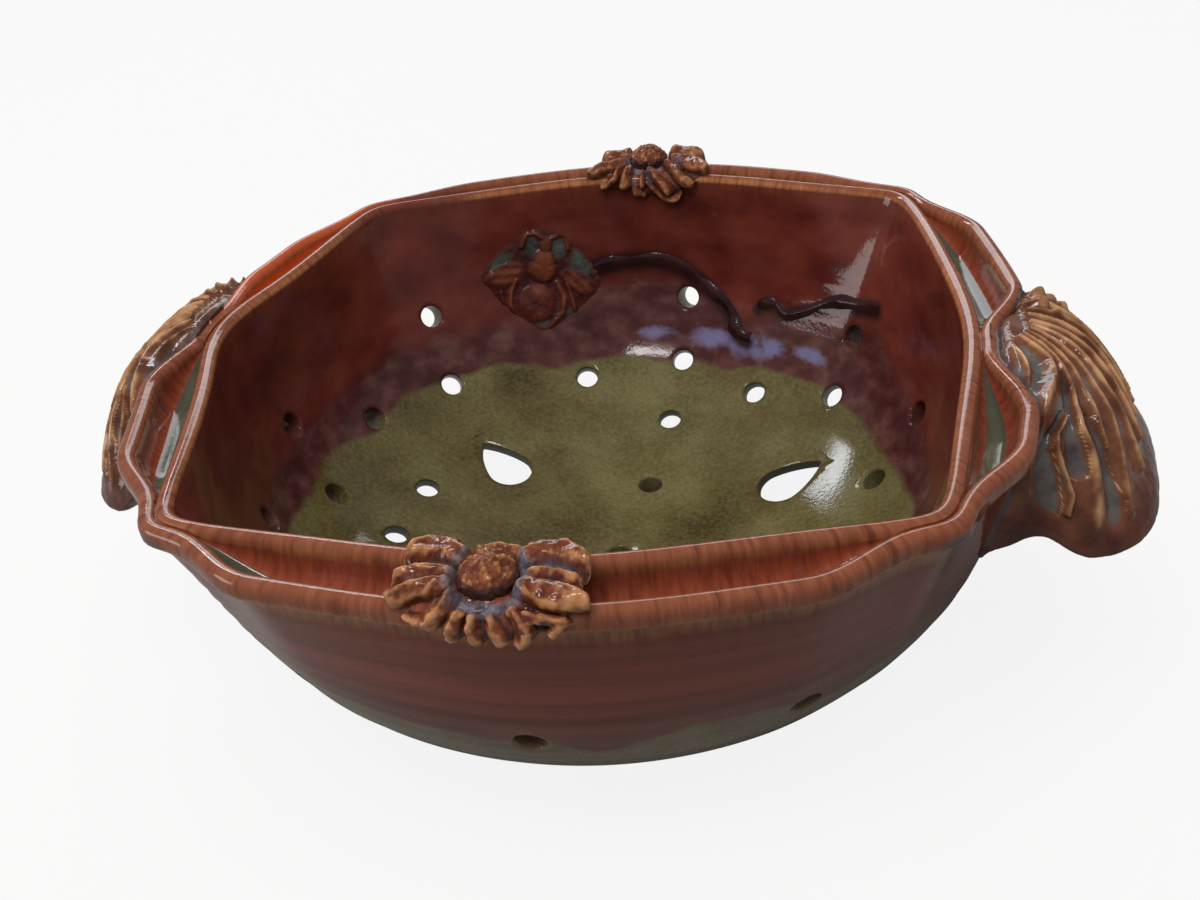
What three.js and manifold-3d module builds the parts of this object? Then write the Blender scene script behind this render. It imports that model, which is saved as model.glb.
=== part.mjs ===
// Berry bowl: a wheel-thrown stoneware bowl, pinched square, with a split rim and drain holes.
// A fluted wing handle hangs on each side, a flower straddles the rim at the front and at the back,
// and a bee is pressed on to the inside of the back wall.
// Millimetres, +Z up. The origin is the middle of the foot ring, on the table. The front faces -Y.

import * as THREE from "three";
import { mergeVertices } from "three/addons/utils/BufferGeometryUtils.js";
import Module from "manifold-3d";

const wasm = await Module();
wasm.setup();
const { degToRad, euclideanModulo, lerp, radToDeg, smoothstep } = THREE.MathUtils;

// Bowl: how far the inner lip's middle line reaches from the axis
const RIM_HEIGHT = 84;
const LEFT_CORNER_REACH = 109.5;
const RIGHT_CORNER_REACH = 106.5;
const FRONT_REACH = 90.5;
const BACK_REACH = 96.5;
const LEFT_REACH = 93.5;
const RIGHT_REACH = 88;
const LEFT_PULL = 4.5;

// Split rim: two rounded lips, apart by a gap along each lobe and pressed together at the pinches
const LIP_THICKNESS = 4.2;
const LIP_PINCH = 3.6;
const FRONT_LOBE_GAP = 14;
const BACK_LOBE_GAP = 8;
const LEFT_FRONT_LOBE_GAP = 13.5;
const LEFT_BACK_LOBE_GAP = 10;
const RIGHT_FRONT_LOBE_GAP = 13;
const RIGHT_BACK_LOBE_GAP = 13;
const GROOVE_DEPTH = 9.5;
const PINCH_CREASE = 1.4;
const CREASE_WIDTH = 0.6;
const BEAD_HEIGHT = 6.5;
const BEAD_UNDERCUT = 0.8;
const LOBE_FADE = 36;

// Wall, floor and foot
const BELLY_REACH = 100;
const LEFT_BELLY_REACH = 101.5;
const RIGHT_BELLY_REACH = 98;
const WALL_THICKNESS = 8;
const FLOOR_THICKNESS = 8;
const BASE_LIFT = 6;
const FOOT_RADIUS = 41.5;
const FOOT_WIDTH = 5;
const FOOT_CHAMFER = 1;

// Drain holes, and the three drop-shaped slots round the floor
const HOLE_DIAMETER = 6.5;
const SLOT_LENGTH = 20;
const SLOT_WIDTH = 13;
const FOOT_MARGIN = 2;

// Wing handles: a fluted hood on each side, open below for the fingers
const RIGHT_HANDLE_LENGTH = 42;
const LEFT_HANDLE_LENGTH = 34.6;
const RIGHT_HANDLE_DROP = 31.5;
const LEFT_HANDLE_DROP = 34;
const HANDLE_RISE = 1;
const HANDLE_NECK = 48;
const HANDLE_SPREAD = 78;
const HANDLE_THICKNESS = 6;
const FLUTE_DEPTH = 1.8;
const SCALLOP_DEPTH = 1.5;
const HEM_NOTCH = 6;

// Flowers draped over both lips
const FLOWER_RADIUS = 18.7;
const FLOWER_SHIFT = 1.5;
const PETAL_THICKNESS = 3;
const PETAL_RELIEF = 1.3;
const PETAL_NOTCH = 2.6;
const SHOULDER_RADIUS = 7;
const CENTRE_RADIUS = 5.6;
const CENTRE_RISE = 3.6;
const CENTRE_SEAT = 1.2;

// Bee on its lozenge pad
const BEE_DROP = 31;
const BEE_RELIEF = 3.6;
const PAD_WIDTH = 39;
const PAD_LENGTH = 32;
const PAD_THICKNESS = 1.2;

// Fired pieces that touch are kept apart by this much
const CLEARANCE = 0.3;

// Counts, and where things sit round the bowl in degrees from +X
const CORNER_ANGLES = [45, 135, 225, 315];
const HANDLE_ANGLES = { right: -6, left: 177 };
const FLOWER_ANGLES = { front: 267, back: 88.5 };
const BEE_ANGLE = 110.5;
const SLOT_ANGLES = [31, 137, 252];
const PETALS = 12;
const FLUTES = 9;

// Round holes, pierced by eye. Each has its angle, and then its drop below the rim on the wall, its height
// above the floor on the shoulder, or its distance outside the foot on the floor.
const WALL_HOLES = [
  [18, 42], [44, 38], [81, 37], [133, 32], [173, 35], [197, 40], [234, 39], [268, 38], [302, 39],
];
const SHOULDER_HOLES = [
  [14, 13], [42, 18], [61, 13], [81, 17], [104, 14], [135, 20], [155, 22],
  [177, 17], [204, 16], [230, 16], [256, 15], [284, 16], [312, 14], [340, 15],
];
const FLOOR_HOLES = [
  [81, 16.5], [161, 19.5], [182, 19.5], [208, 18.5], [280, 17.5], [328, 18.5],
];
const INNER_HOLE_ANGLES = [80, 200, 320];

// Shape of the plan and the walls, as shares of the sizes above
const CORNER_ROUND_SHARE = 0.06;
const SQUARE_POWER = 3.3;
const SQUARE_FADE = 2.6;
const PULL_SPREAD_ANGLE = 13;
const PINCH_CLOSED_ANGLE = 2.5;
const PINCH_OPEN_ANGLE = 17;
const OUTER_PROFILE = profile([1, 0], [1, 0.7], [0.95, 1], [0, 1]);
const INNER_PROFILE = profile([1, 0], [0.99, 0.64], [0.92, 1], [0, 1]);
const HOOD_PROFILE = profile([0, 0], [0.54, -0.04], [0.7, 0.2], [1, 1]);
const GROOVE_TAPER = 0.7;
const SCALLOP_SPAN_ANGLE = 100;
const NOTCH_ANGLE = 68;
const NOTCH_SPREAD_ANGLE = 8;
const FLUTE_FAN_ANGLE = 160;
const NECK_SQUARE_POWER = 2;
const HEM_SQUARE_POWER = 3.5;
const PAD_SQUARENESS = 1.3;

// Fineness of the facets
const BODY_SIDES = 80;
const INSIDE_STEPS = [0.94, 0.82, 0.69, 0.55, 0.4, 0.22, 0];
const OUTSIDE_STEPS = 6;
const HOLE_SIDES = 10;
const PAD_SIDES = 28;
const HANDLE_STATIONS = 40;
const PETAL_SIDES = 4;

const HANDLE_REACH = {
  right: RIGHT_REACH + RIGHT_HANDLE_LENGTH,
  left: LEFT_REACH + LEFT_PULL + LEFT_HANDLE_LENGTH,
};
const HANDLE_DROP = { right: RIGHT_HANDLE_DROP, left: LEFT_HANDLE_DROP };
const SIDE_REACHES = [RIGHT_REACH, BACK_REACH, LEFT_REACH, FRONT_REACH];
const CORNER_REACHES = [RIGHT_CORNER_REACH, LEFT_CORNER_REACH, LEFT_CORNER_REACH, RIGHT_CORNER_REACH];
const PINCH_ANGLES = [...CORNER_ANGLES, ...Object.values(HANDLE_ANGLES)];
const LOBES = [
  { from: HANDLE_ANGLES.right, gap: RIGHT_BACK_LOBE_GAP },
  { from: CORNER_ANGLES[0], gap: BACK_LOBE_GAP },
  { from: CORNER_ANGLES[1], gap: LEFT_BACK_LOBE_GAP },
  { from: HANDLE_ANGLES.left, gap: LEFT_FRONT_LOBE_GAP },
  { from: CORNER_ANGLES[2], gap: FRONT_LOBE_GAP },
  { from: CORNER_ANGLES[3], gap: RIGHT_FRONT_LOBE_GAP },
];
const BELLY_REACHES = [RIGHT_BELLY_REACH, BELLY_REACH, LEFT_BELLY_REACH, BELLY_REACH];
const HALF_LIP = LIP_THICKNESS / 2;
const FLOOR_HEIGHT = BASE_LIFT + FLOOR_THICKNESS;

function profile(...corners) {
  return new THREE.CubicBezierCurve(...corners.map(([x, y]) => new THREE.Vector2(x, y)));
}

// A point given by its distance from the axis, its angle and its height
function polar(radius, angle, height) {
  const turn = degToRad(angle);
  return new THREE.Vector3(radius * Math.cos(turn), radius * Math.sin(turn), height);
}

// How far a rounded outline reaches in a direction: power 1 is a lozenge, 2 is round, and more is squarer
function roundedReach(turn, power) {
  return (Math.abs(Math.cos(turn)) ** power + Math.abs(Math.sin(turn)) ** power) ** (-1 / power);
}

function angleBetween(a, b) {
  return Math.abs(euclideanModulo(a - b + 180, 360) - 180);
}

// A size given for each of the four sides, passing smoothly from one side to the next
function alongSides(sizes, angle) {
  const turn = euclideanModulo(angle, 360) / 90;
  const side = Math.floor(turn);
  return lerp(sizes[side], sizes[(side + 1) % 4], smoothstep(turn - side, 0, 1));
}

// The inner lip's middle line: a square with pinched corners and bowed sides, pulled out at the left handle
function lipRadius(angle) {
  const fromCorners = CORNER_ANGLES.map((corner) => angleBetween(angle, corner));
  const fromNearest = Math.min(...fromCorners);
  const corner = CORNER_REACHES[fromCorners.indexOf(fromNearest)];
  const share = 1 + CORNER_ROUND_SHARE - Math.hypot(fromNearest / 45, CORNER_ROUND_SHARE);
  const fromHandle = angleBetween(angle, HANDLE_ANGLES.left);
  const pull = LEFT_PULL * Math.exp(-((fromHandle / PULL_SPREAD_ANGLE) ** 2));
  const side = alongSides(SIDE_REACHES, angle) + pull;
  return side + (corner - side) * share ** SQUARE_POWER;
}

// How far the split rim has opened: 0 at a pinch, 1 along a lobe
function lobeShare(angle) {
  const away = Math.min(...PINCH_ANGLES.map((pinch) => angleBetween(angle, pinch)));
  return smoothstep(away, PINCH_CLOSED_ANGLE, PINCH_OPEN_ANGLE);
}

// From the inner lip's middle line to the outer lip's
function lipGap(angle) {
  const past = LOBES.map(({ from }) => euclideanModulo(angle - from, 360));
  const { gap } = LOBES[past.indexOf(Math.min(...past))];
  return lerp(LIP_PINCH, gap, lobeShare(angle));
}

// A wall's radius and height at a share of the way from the rim to the middle of the floor
function outerWall(angle, share) {
  const { x, y } = OUTER_PROFILE.getPoint(share);
  const drop = y * (RIM_HEIGHT - BASE_LIFT);
  const lip = lipRadius(angle) + LIP_PINCH + HALF_LIP;
  const lobe = (lipGap(angle) - LIP_PINCH) * (1 - y) * Math.exp(-drop / LOBE_FADE);
  const belly = alongSides(BELLY_REACHES, angle);
  const radius = x * lerp(belly, lip, (1 - y) ** SQUARE_FADE) + lobe;
  return new THREE.Vector2(radius, RIM_HEIGHT - drop);
}

function innerWall(angle, share) {
  const { x, y } = INNER_PROFILE.getPoint(share);
  const top = RIM_HEIGHT - HALF_LIP;
  const lip = lipRadius(angle) - HALF_LIP;
  const belly = alongSides(BELLY_REACHES, angle) - WALL_THICKNESS;
  const radius = x * lerp(belly, lip, (1 - y) ** SQUARE_FADE);
  return new THREE.Vector2(radius, top - y * (top - FLOOR_HEIGHT));
}

// The share of the way down a wall at which a falling measure passes a value
function shareWhere(measure, value) {
  let above = 0;
  let below = 1;
  for (let step = 0; step < 40; step += 1) {
    const middle = (above + below) / 2;
    if (measure(middle) > value) above = middle;
    else below = middle;
  }
  return above;
}

// Points of a lip's round top, from one angle to another
function lipArc(middle, from, to, steps) {
  return Array.from({ length: steps + 1 }, (_, step) => {
    const turn = degToRad(lerp(from, to, step / steps));
    const height = RIM_HEIGHT - HALF_LIP + HALF_LIP * Math.sin(turn);
    return new THREE.Vector2(middle + HALF_LIP * Math.cos(turn), height);
  });
}

// One upright section of the bowl: up the inside, over both lips, down the outside and round the foot
function section(angle) {
  const gap = lipGap(angle);
  const inner = lipRadius(angle);
  const outer = inner + gap;
  const lobe = lobeShare(angle);
  const inside = INSIDE_STEPS.map((share) => innerWall(angle, share));

  const grooveHalf = Math.max(gap / 2 - HALF_LIP, 0);
  const lipEnd = radToDeg(Math.acos(Math.min((gap - CREASE_WIDTH) / LIP_THICKNESS, 1)));
  const grooveFloor = RIM_HEIGHT - lerp(PINCH_CREASE, GROOVE_DEPTH, lobe);
  const grooveWidth = CREASE_WIDTH / 4 + grooveHalf * GROOVE_TAPER;
  const rim = [
    ...lipArc(inner, 180, lipEnd, 3).slice(1),
    new THREE.Vector2(inner + gap / 2 - grooveWidth, grooveFloor),
    new THREE.Vector2(inner + gap / 2 + grooveWidth, grooveFloor),
    ...lipArc(outer, 180 - lipEnd, 0, 3),
    new THREE.Vector2(outer + HALF_LIP, RIM_HEIGHT - BEAD_HEIGHT + BEAD_UNDERCUT),
  ];

  const heightAt = (share) => outerWall(angle, share).y;
  const radiusAt = (share) => outerWall(angle, share).x;
  const first = shareWhere(heightAt, RIM_HEIGHT - BEAD_HEIGHT);
  const last = shareWhere(radiusAt, FOOT_RADIUS + FOOT_CHAMFER);
  const outside = Array.from({ length: OUTSIDE_STEPS + 1 }, (_, step) =>
    outerWall(angle, lerp(first, last, step / OUTSIDE_STEPS)));
  outside[0].x -= BEAD_UNDERCUT * lobe;

  const footInside = FOOT_RADIUS - FOOT_WIDTH;
  const foot = [
    new THREE.Vector2(FOOT_RADIUS, FOOT_CHAMFER),
    new THREE.Vector2(FOOT_RADIUS - FOOT_CHAMFER, 0),
    new THREE.Vector2(footInside + FOOT_CHAMFER, 0),
    new THREE.Vector2(footInside, FOOT_CHAMFER),
    outerWall(angle, shareWhere(radiusAt, footInside - FOOT_CHAMFER)),
  ];
  return [...inside, ...rim, ...outside, ...foot];
}

// The same section with every point moved out of the clay by a distance
function grown(points, distance) {
  return points.map((point, index) => {
    const before = points[Math.max(index - 1, 0)];
    const after = points[Math.min(index + 1, points.length - 1)];
    const along = after.clone().sub(before).normalize();
    return new THREE.Vector2(point.x - along.y * distance, point.y + along.x * distance);
  });
}

// A closed solid skinned over rings of points, with each end closed by a fan
function skin(rings) {
  const count = rings[0].length;
  const points = rings.flat();
  const faces = [];
  for (let ring = 0; ring < rings.length - 1; ring += 1) {
    for (let index = 0; index < count; index += 1) {
      const a = ring * count + index;
      const b = ring * count + ((index + 1) % count);
      faces.push(a, a + count, b + count, a, b + count, b);
    }
  }
  for (const ring of [0, rings.length - 1]) {
    const middle = points.length;
    const sum = rings[ring].reduce((total, point) => total.add(point), new THREE.Vector3());
    points.push(sum.divideScalar(count));
    for (let index = 0; index < count; index += 1) {
      const a = ring * count + index;
      const b = ring * count + ((index + 1) % count);
      faces.push(middle, ring ? b : a, ring ? a : b);
    }
  }
  const geometry = new THREE.BufferGeometry().setFromPoints(points);
  geometry.setIndex(faces);
  return solid(geometry);
}

function solid(geometry) {
  const bare = geometry.clone();
  bare.deleteAttribute("normal");
  bare.deleteAttribute("uv");
  const merged = mergeVertices(bare);
  const triVerts = Uint32Array.from(merged.index.array);
  const vertProperties = Float32Array.from(merged.attributes.position.array);
  return new wasm.Manifold(new wasm.Mesh({ numProp: 3, vertProperties, triVerts }));
}

function largest(manifold) {
  return manifold.decompose().sort((a, b) => b.volume() - a.volume())[0];
}

function pieceMesh(name, manifold, material) {
  const { vertProperties, triVerts } = manifold.getMesh();
  const geometry = new THREE.BufferGeometry();
  geometry.setAttribute("position", new THREE.BufferAttribute(vertProperties, 3));
  geometry.setIndex(new THREE.BufferAttribute(triVerts, 1));
  geometry.computeVertexNormals();
  const mesh = new THREE.Mesh(geometry, material);
  mesh.name = name;
  return mesh;
}

// The thrown and pinched bowl before it is pierced, grown by a distance
function thrownBowl(distance) {
  const angles = Array.from({ length: BODY_SIDES }, (_, side) => (side * 360) / BODY_SIDES);
  const sections = angles.map((angle) => grown(section(angle), distance));
  const rings = sections[0].map((_, row) =>
    sections.map((points, side) => polar(points[row].x, angles[side], points[row].y)));
  return skin(rings);
}

const shareAtHeight = (angle, height) => shareWhere((share) => innerWall(angle, share).y, height);
const shareAtReach = (angle, reach) => shareWhere((share) => innerWall(angle, share).x, reach);

// Everything within the outer lip's middle line, from the groove upwards
function rimPlug() {
  const ring = (height) => Array.from({ length: BODY_SIDES }, (_, side) => {
    const angle = (side * 360) / BODY_SIDES;
    return polar(lipRadius(angle) + lipGap(angle), angle, height);
  });
  return skin([ring(RIM_HEIGHT + LIP_THICKNESS), ring(RIM_HEIGHT - GROOVE_DEPTH)]);
}

// A place on the inside wall: x runs round the bowl, y up the wall and z out of the clay
function wallFrame(angle, share) {
  const place = (turn, step) => {
    const { x, y } = innerWall(turn, step);
    return polar(x, turn, y);
  };
  const origin = place(angle, share);
  const round = place(angle + 1, share).sub(place(angle - 1, share)).normalize();
  const up = place(angle, share - 0.01).sub(place(angle, share + 0.01)).normalize();
  const outOfClay = new THREE.Vector3().crossVectors(up, round).normalize();
  const frame = new THREE.Matrix4().makeBasis(round.negate(), up, outOfClay);
  return frame.setPosition(origin);
}

// A straight cutter through the wall, from an outline drawn in the wall's own plane
function wallCutter(outline, frame) {
  const reach = 2 * (WALL_THICKNESS + FLOOR_THICKNESS);
  const geometry = new THREE.ExtrudeGeometry(outline, {
    depth: reach,
    bevelEnabled: false,
    curveSegments: HOLE_SIDES / 2,
  });
  geometry.translate(0, 0, -reach * 0.75);
  return solid(geometry.applyMatrix4(frame));
}

function roundOutline() {
  return new THREE.Shape().absarc(0, 0, HOLE_DIAMETER / 2, 0, 2 * Math.PI);
}

// A drop with its round end towards the middle of the floor and its point up the wall
function dropOutline() {
  const half = SLOT_WIDTH / 2;
  const tail = SLOT_LENGTH - half;
  const outline = new THREE.Shape().absarc(0, 0, half, Math.PI, 2 * Math.PI);
  outline.bezierCurveTo(half, tail * 0.5, half * 0.3, tail * 0.8, 0, tail);
  outline.bezierCurveTo(-half * 0.3, tail * 0.8, -half, tail * 0.5, -half, 0);
  return outline;
}

function bowlBody() {
  const innerReach = FOOT_RADIUS - FOOT_WIDTH - FOOT_MARGIN - HOLE_DIAMETER / 2;
  const slotReach = FOOT_RADIUS + FOOT_MARGIN + SLOT_WIDTH / 2;
  const frameAtHeight = (angle, height) => wallFrame(angle, shareAtHeight(angle, height));
  const frameAtReach = (angle, reach) => wallFrame(angle, shareAtReach(angle, reach));
  const frames = [
    ...WALL_HOLES.map(([angle, drop]) => frameAtHeight(angle, RIM_HEIGHT - drop)),
    ...SHOULDER_HOLES.map(([angle, height]) => frameAtHeight(angle, FLOOR_HEIGHT + height)),
    ...FLOOR_HOLES.map(([angle, outside]) => frameAtReach(angle, FOOT_RADIUS + outside)),
    ...INNER_HOLE_ANGLES.map((angle) => frameAtReach(angle, innerReach)),
    frameAtReach(0, 0),
  ];
  const slots = SLOT_ANGLES.map((angle) => frameAtReach(angle, slotReach));
  const cutters = [
    ...frames.map((frame) => wallCutter(roundOutline(), frame)),
    ...slots.map((frame) => wallCutter(dropOutline(), frame)),
  ];
  return cutters.reduce((bowl, cutter) => bowl.subtract(cutter), thrownBowl(0));
}

// How deep the flutes lie at a place on a handle: they start at the neck and end in round hollows
function fluteDepth(across, down) {
  const pitch = FLUTE_FAN_ANGLE / FLUTES;
  const nearest = Math.round(across / pitch);
  const fromMiddle = Math.abs(across / pitch - nearest) * 2;
  const inRow = Math.abs(nearest) <= (FLUTES - 1) / 2 ? 1 : 0;
  const along = smoothstep(down, 0.1, 0.35) * (1 - smoothstep(down, 0.7, 0.85));
  return FLUTE_DEPTH * inRow * along * (1 - fromMiddle ** 2);
}

// How far below the neck a handle's hem lies: two broad scallops, with a notch beside each wall root
function hemDrop(side, across) {
  const scallop = SCALLOP_DEPTH * Math.cos((across / SCALLOP_SPAN_ANGLE) * 2 * Math.PI);
  const notch = HEM_NOTCH * Math.exp(-(((Math.abs(across) - NOTCH_ANGLE) / NOTCH_SPREAD_ANGLE) ** 2));
  return HANDLE_DROP[side] - scallop - notch;
}

// A place on a handle's hood: across from one wall root to the other, and down from the neck to the hem
function hoodPoint(side, across, down, inset) {
  const { x: out, y: fall } = HOOD_PROFILE.getPoint(down);
  const lip = lipRadius(HANDLE_ANGLES[side]);
  const root = lip - HALF_LIP;
  const neck = lip + LIP_PINCH;
  const reach = lerp(neck, HANDLE_REACH[side] - inset, out);
  const width = lerp(HANDLE_NECK, HANDLE_SPREAD, down ** 0.6) / 2 - inset;
  const swing = degToRad(across);
  const squared = roundedReach(swing, lerp(NECK_SQUARE_POWER, HEM_SQUARE_POWER, down));
  const sunk = inset ? 0 : fluteDepth(across, down);
  const x = root + ((reach - root) * squared - sunk * down) * Math.cos(swing);
  const y = (width * squared - sunk * down) * Math.sin(swing);
  const z = RIM_HEIGHT + HANDLE_RISE - inset - (hemDrop(side, across) - inset) * fall - sunk * (1 - down);
  return new THREE.Vector3(x, y, z);
}

function handle(side) {
  const outerDowns = [0, 0.16, 0.32, 0.46, 0.6, 0.72, 0.83, 1];
  const innerDowns = [1, 0.66, 0.33, 0];
  const rings = Array.from({ length: HANDLE_STATIONS + 1 }, (_, station) => {
    const across = lerp(90, -90, station / HANDLE_STATIONS);
    const outside = outerDowns.map((down) => hoodPoint(side, across, down, 0));
    const inside = innerDowns.map((down) => hoodPoint(side, across, down, HANDLE_THICKNESS));
    return [...outside, ...inside];
  });
  const turn = new THREE.Matrix4().makeRotationZ(degToRad(HANDLE_ANGLES[side]));
  const placed = rings.map((ring) => ring.map((point) => point.applyMatrix4(turn)));
  return largest(skin(placed).subtract(grownBowl).subtract(rimPlug()));
}

// A place on the arch that a flower drapes over the rim: along the rim, outwards across it, and lifted
function archPoint(flowerAngle, along, outwards, lift) {
  const gap = lipGap(flowerAngle);
  const angle = flowerAngle + radToDeg(along / (lipRadius(flowerAngle) + gap / 2));
  const middle = lipRadius(angle) + lipGap(angle) / 2;
  const legs = gap / 2 + HALF_LIP + PETAL_THICKNESS;
  const crown = legs - SHOULDER_RADIUS;
  const bend = Math.min(Math.max(Math.abs(outwards) - crown, 0) / SHOULDER_RADIUS, Math.PI / 2);
  const leg = Math.max(Math.abs(outwards) - crown - SHOULDER_RADIUS * (Math.PI / 2), 0);
  const radius = SHOULDER_RADIUS + lift;
  const offset = Math.min(Math.abs(outwards), crown) + radius * Math.sin(bend);
  const rise = CLEARANCE + PETAL_THICKNESS;
  const height = RIM_HEIGHT + rise - SHOULDER_RADIUS + radius * Math.cos(bend) - leg;
  return polar(middle + Math.sign(outwards) * offset, angle, height);
}

// A ring of places on a flower, with the size and lift of each given by its angle in the flower
function flowerRing(flowerAngle, sides, size, lift) {
  return Array.from({ length: sides }, (_, side) => {
    const turn = (side / sides) * 2 * Math.PI;
    const along = size(turn) * Math.sin(turn);
    const outwards = FLOWER_SHIFT + size(turn) * Math.cos(turn);
    return archPoint(flowerAngle, along, outwards, lift(turn));
  });
}

function petals(flowerAngle) {
  const sides = PETALS * PETAL_SIDES;
  const swell = (turn) => Math.abs(Math.cos((turn * PETALS) / 2));
  const seat = CENTRE_RADIUS + CLEARANCE;
  const tip = (turn) => FLOWER_RADIUS - PETAL_NOTCH * (1 - swell(turn));
  const ridge = (turn) => PETAL_RELIEF * (swell(turn) - 0.5);
  const ring = (size, lift) => flowerRing(flowerAngle, sides, size, lift);
  const rings = [
    ring(() => seat, () => -CENTRE_SEAT - CLEARANCE),
    ring(() => seat, (turn) => ridge(turn) * 0.4),
    ring((turn) => lerp(seat, tip(turn), 0.45), ridge),
    ring((turn) => lerp(seat, tip(turn), 0.8), ridge),
    ring(tip, (turn) => -PETAL_THICKNESS * 0.4 + ridge(turn) * 0.5),
    ring((turn) => tip(turn) - PETAL_THICKNESS * 0.3, () => -PETAL_THICKNESS),
    ring(() => seat, () => -PETAL_THICKNESS),
  ];
  return largest(skin(rings).subtract(grownBowl));
}

function flowerCentre(flowerAngle) {
  const sides = PETALS * 2;
  const dome = [0.3, 0.6, 0.85].map((share) =>
    flowerRing(flowerAngle, sides, () => share * CENTRE_RADIUS, () => CENTRE_RISE * (1 - share ** 2.4)));
  const rings = [
    ...dome,
    flowerRing(flowerAngle, sides, () => CENTRE_RADIUS, () => CENTRE_RISE * 0.1),
    flowerRing(flowerAngle, sides, () => CENTRE_RADIUS, () => -CENTRE_SEAT),
  ];
  return skin(rings);
}

// A place on the wall by the bee: along the wall and up from the bee's middle
function beeFrame(along, up) {
  const angle = BEE_ANGLE - radToDeg(along / lipRadius(BEE_ANGLE));
  return wallFrame(angle, shareAtHeight(angle, RIM_HEIGHT - BEE_DROP + up));
}

// The lozenge of clay under the bee, laid on the wall
function beePad() {
  const outline = Array.from({ length: PAD_SIDES }, (_, side) => {
    const turn = (side / PAD_SIDES) * 2 * Math.PI;
    const reach = roundedReach(turn, PAD_SQUARENESS) / 2;
    return new THREE.Vector2(reach * PAD_WIDTH * Math.cos(turn), reach * PAD_LENGTH * Math.sin(turn));
  });
  const block = new THREE.ExtrudeGeometry(new THREE.Shape(outline), {
    depth: 2 * WALL_THICKNESS,
    bevelEnabled: false,
  });
  block.translate(0, 0, -WALL_THICKNESS / 2);
  return solid(block.applyMatrix4(beeFrame(0, 0))).intersect(thrownBowl(CLEARANCE + PAD_THICKNESS));
}

function beeSprig() {
  // Each part of the bee as shares of the pad and of the relief: its place, its half sizes and its turn
  const bee = [
    { along: 0, up: -0.17, size: [0.133, 0.181, 1], turn: 0 },
    { along: 0, up: 0.062, size: [0.087, 0.1, 0.9], turn: 0 },
    { along: 0, up: 0.212, size: [0.064, 0.066, 0.75], turn: 0 },
  ];
  for (const side of [-1, 1]) {
    bee.push({ along: side * 0.205, up: 0.081, size: [0.159, 0.075, 0.65], turn: side * 16 });
    bee.push({ along: side * 0.174, up: -0.056, size: [0.118, 0.059, 0.6], turn: side * -18 });
    bee.push({ along: side * 0.067, up: 0.3, size: [0.021, 0.081, 0.55], turn: side * -28 });
  }
  const parts = bee.map(({ along, up, size, turn }) => {
    const ball = new THREE.SphereGeometry(1, 10, 6);
    ball.scale(size[0] * PAD_WIDTH, size[1] * PAD_LENGTH, size[2] * BEE_RELIEF);
    ball.rotateZ(degToRad(turn)).translate(0, 0, PAD_THICKNESS / 2);
    return solid(ball.applyMatrix4(beeFrame(along * PAD_WIDTH, up * PAD_LENGTH)));
  });
  const joined = parts.reduce((whole, part) => whole.add(part), beePad());
  return largest(joined.subtract(grownBowl));
}

const glaze = (color, roughness) => new THREE.MeshStandardMaterial({ color, roughness, metalness: 0 });
const burgundy = glaze(0x45201a, 0.18);
const amber = glaze(0x6b3422, 0.2);
const slate = glaze(0x453c3a, 0.22);

const grownBowl = thrownBowl(CLEARANCE);
const berryBowl = new THREE.Group();
berryBowl.add(pieceMesh("bowl_body", bowlBody(), burgundy));
for (const side of ["right", "left"]) {
  berryBowl.add(pieceMesh(`${side}_handle`, handle(side), slate));
}
for (const [side, angle] of Object.entries(FLOWER_ANGLES)) {
  berryBowl.add(pieceMesh(`${side}_flower_petals`, petals(angle), amber));
  berryBowl.add(pieceMesh(`${side}_flower_centre`, flowerCentre(angle), burgundy));
}
berryBowl.add(pieceMesh("bee_sprig", beeSprig(), slate));

export default berryBowl;
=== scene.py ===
# %% [markdown]
# # A stoneware berry bowl
# A berry bowl is a small colander for the table: fruit is rinsed in it and drains through the holes.
# This one was thrown on a wheel, pinched square while soft, and its thick rim was split into two
# lips. Wing handles, flowers and a bee were pressed from other clay and stuck on before the bowl was
# glazed. The solids of the bowl are loaded first as a fixed frame. Each step below models one piece
# over its solid.

# %% Load the frame
import math

import bpy
import numpy as np
from mathutils import Matrix, Vector, noise as clay_noise
from mathutils.kdtree import KDTree


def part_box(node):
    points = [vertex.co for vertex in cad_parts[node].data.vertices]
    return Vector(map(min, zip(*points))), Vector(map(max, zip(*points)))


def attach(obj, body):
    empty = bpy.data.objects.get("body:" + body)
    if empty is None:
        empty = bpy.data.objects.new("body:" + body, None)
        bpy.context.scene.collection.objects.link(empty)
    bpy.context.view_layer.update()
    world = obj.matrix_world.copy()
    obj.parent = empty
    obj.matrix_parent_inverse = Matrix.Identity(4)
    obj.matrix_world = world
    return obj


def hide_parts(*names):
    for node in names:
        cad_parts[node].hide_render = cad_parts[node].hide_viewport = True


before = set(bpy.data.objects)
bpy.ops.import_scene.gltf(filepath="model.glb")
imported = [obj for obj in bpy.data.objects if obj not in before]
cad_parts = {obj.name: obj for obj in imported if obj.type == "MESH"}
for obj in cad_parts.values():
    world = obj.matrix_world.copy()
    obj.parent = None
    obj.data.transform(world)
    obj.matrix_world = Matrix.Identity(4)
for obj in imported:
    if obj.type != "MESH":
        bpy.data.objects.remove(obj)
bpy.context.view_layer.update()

MM = 0.001
print("frame nodes:", ", ".join(sorted(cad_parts)))

# %% [markdown]
# ## The camera
# The view was worked out by matching the rim and the floor of the bowl with a picture 1200 by 900
# pixels large. A camera can be aimed with a constraint, but three directions written as a matrix also
# give it its slight roll.

# %% Camera
PICTURE_WIDTH = 1200
FOCAL_PIXELS = 1288
SENSOR_WIDTH = 36.0
CAMERA_PLACE = Vector((52.2, -272.6, 228.6)) * MM
AZIMUTH, ELEVATION, ROLL = (math.radians(angle) for angle in (11.27, 33.07, 6.37))

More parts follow.
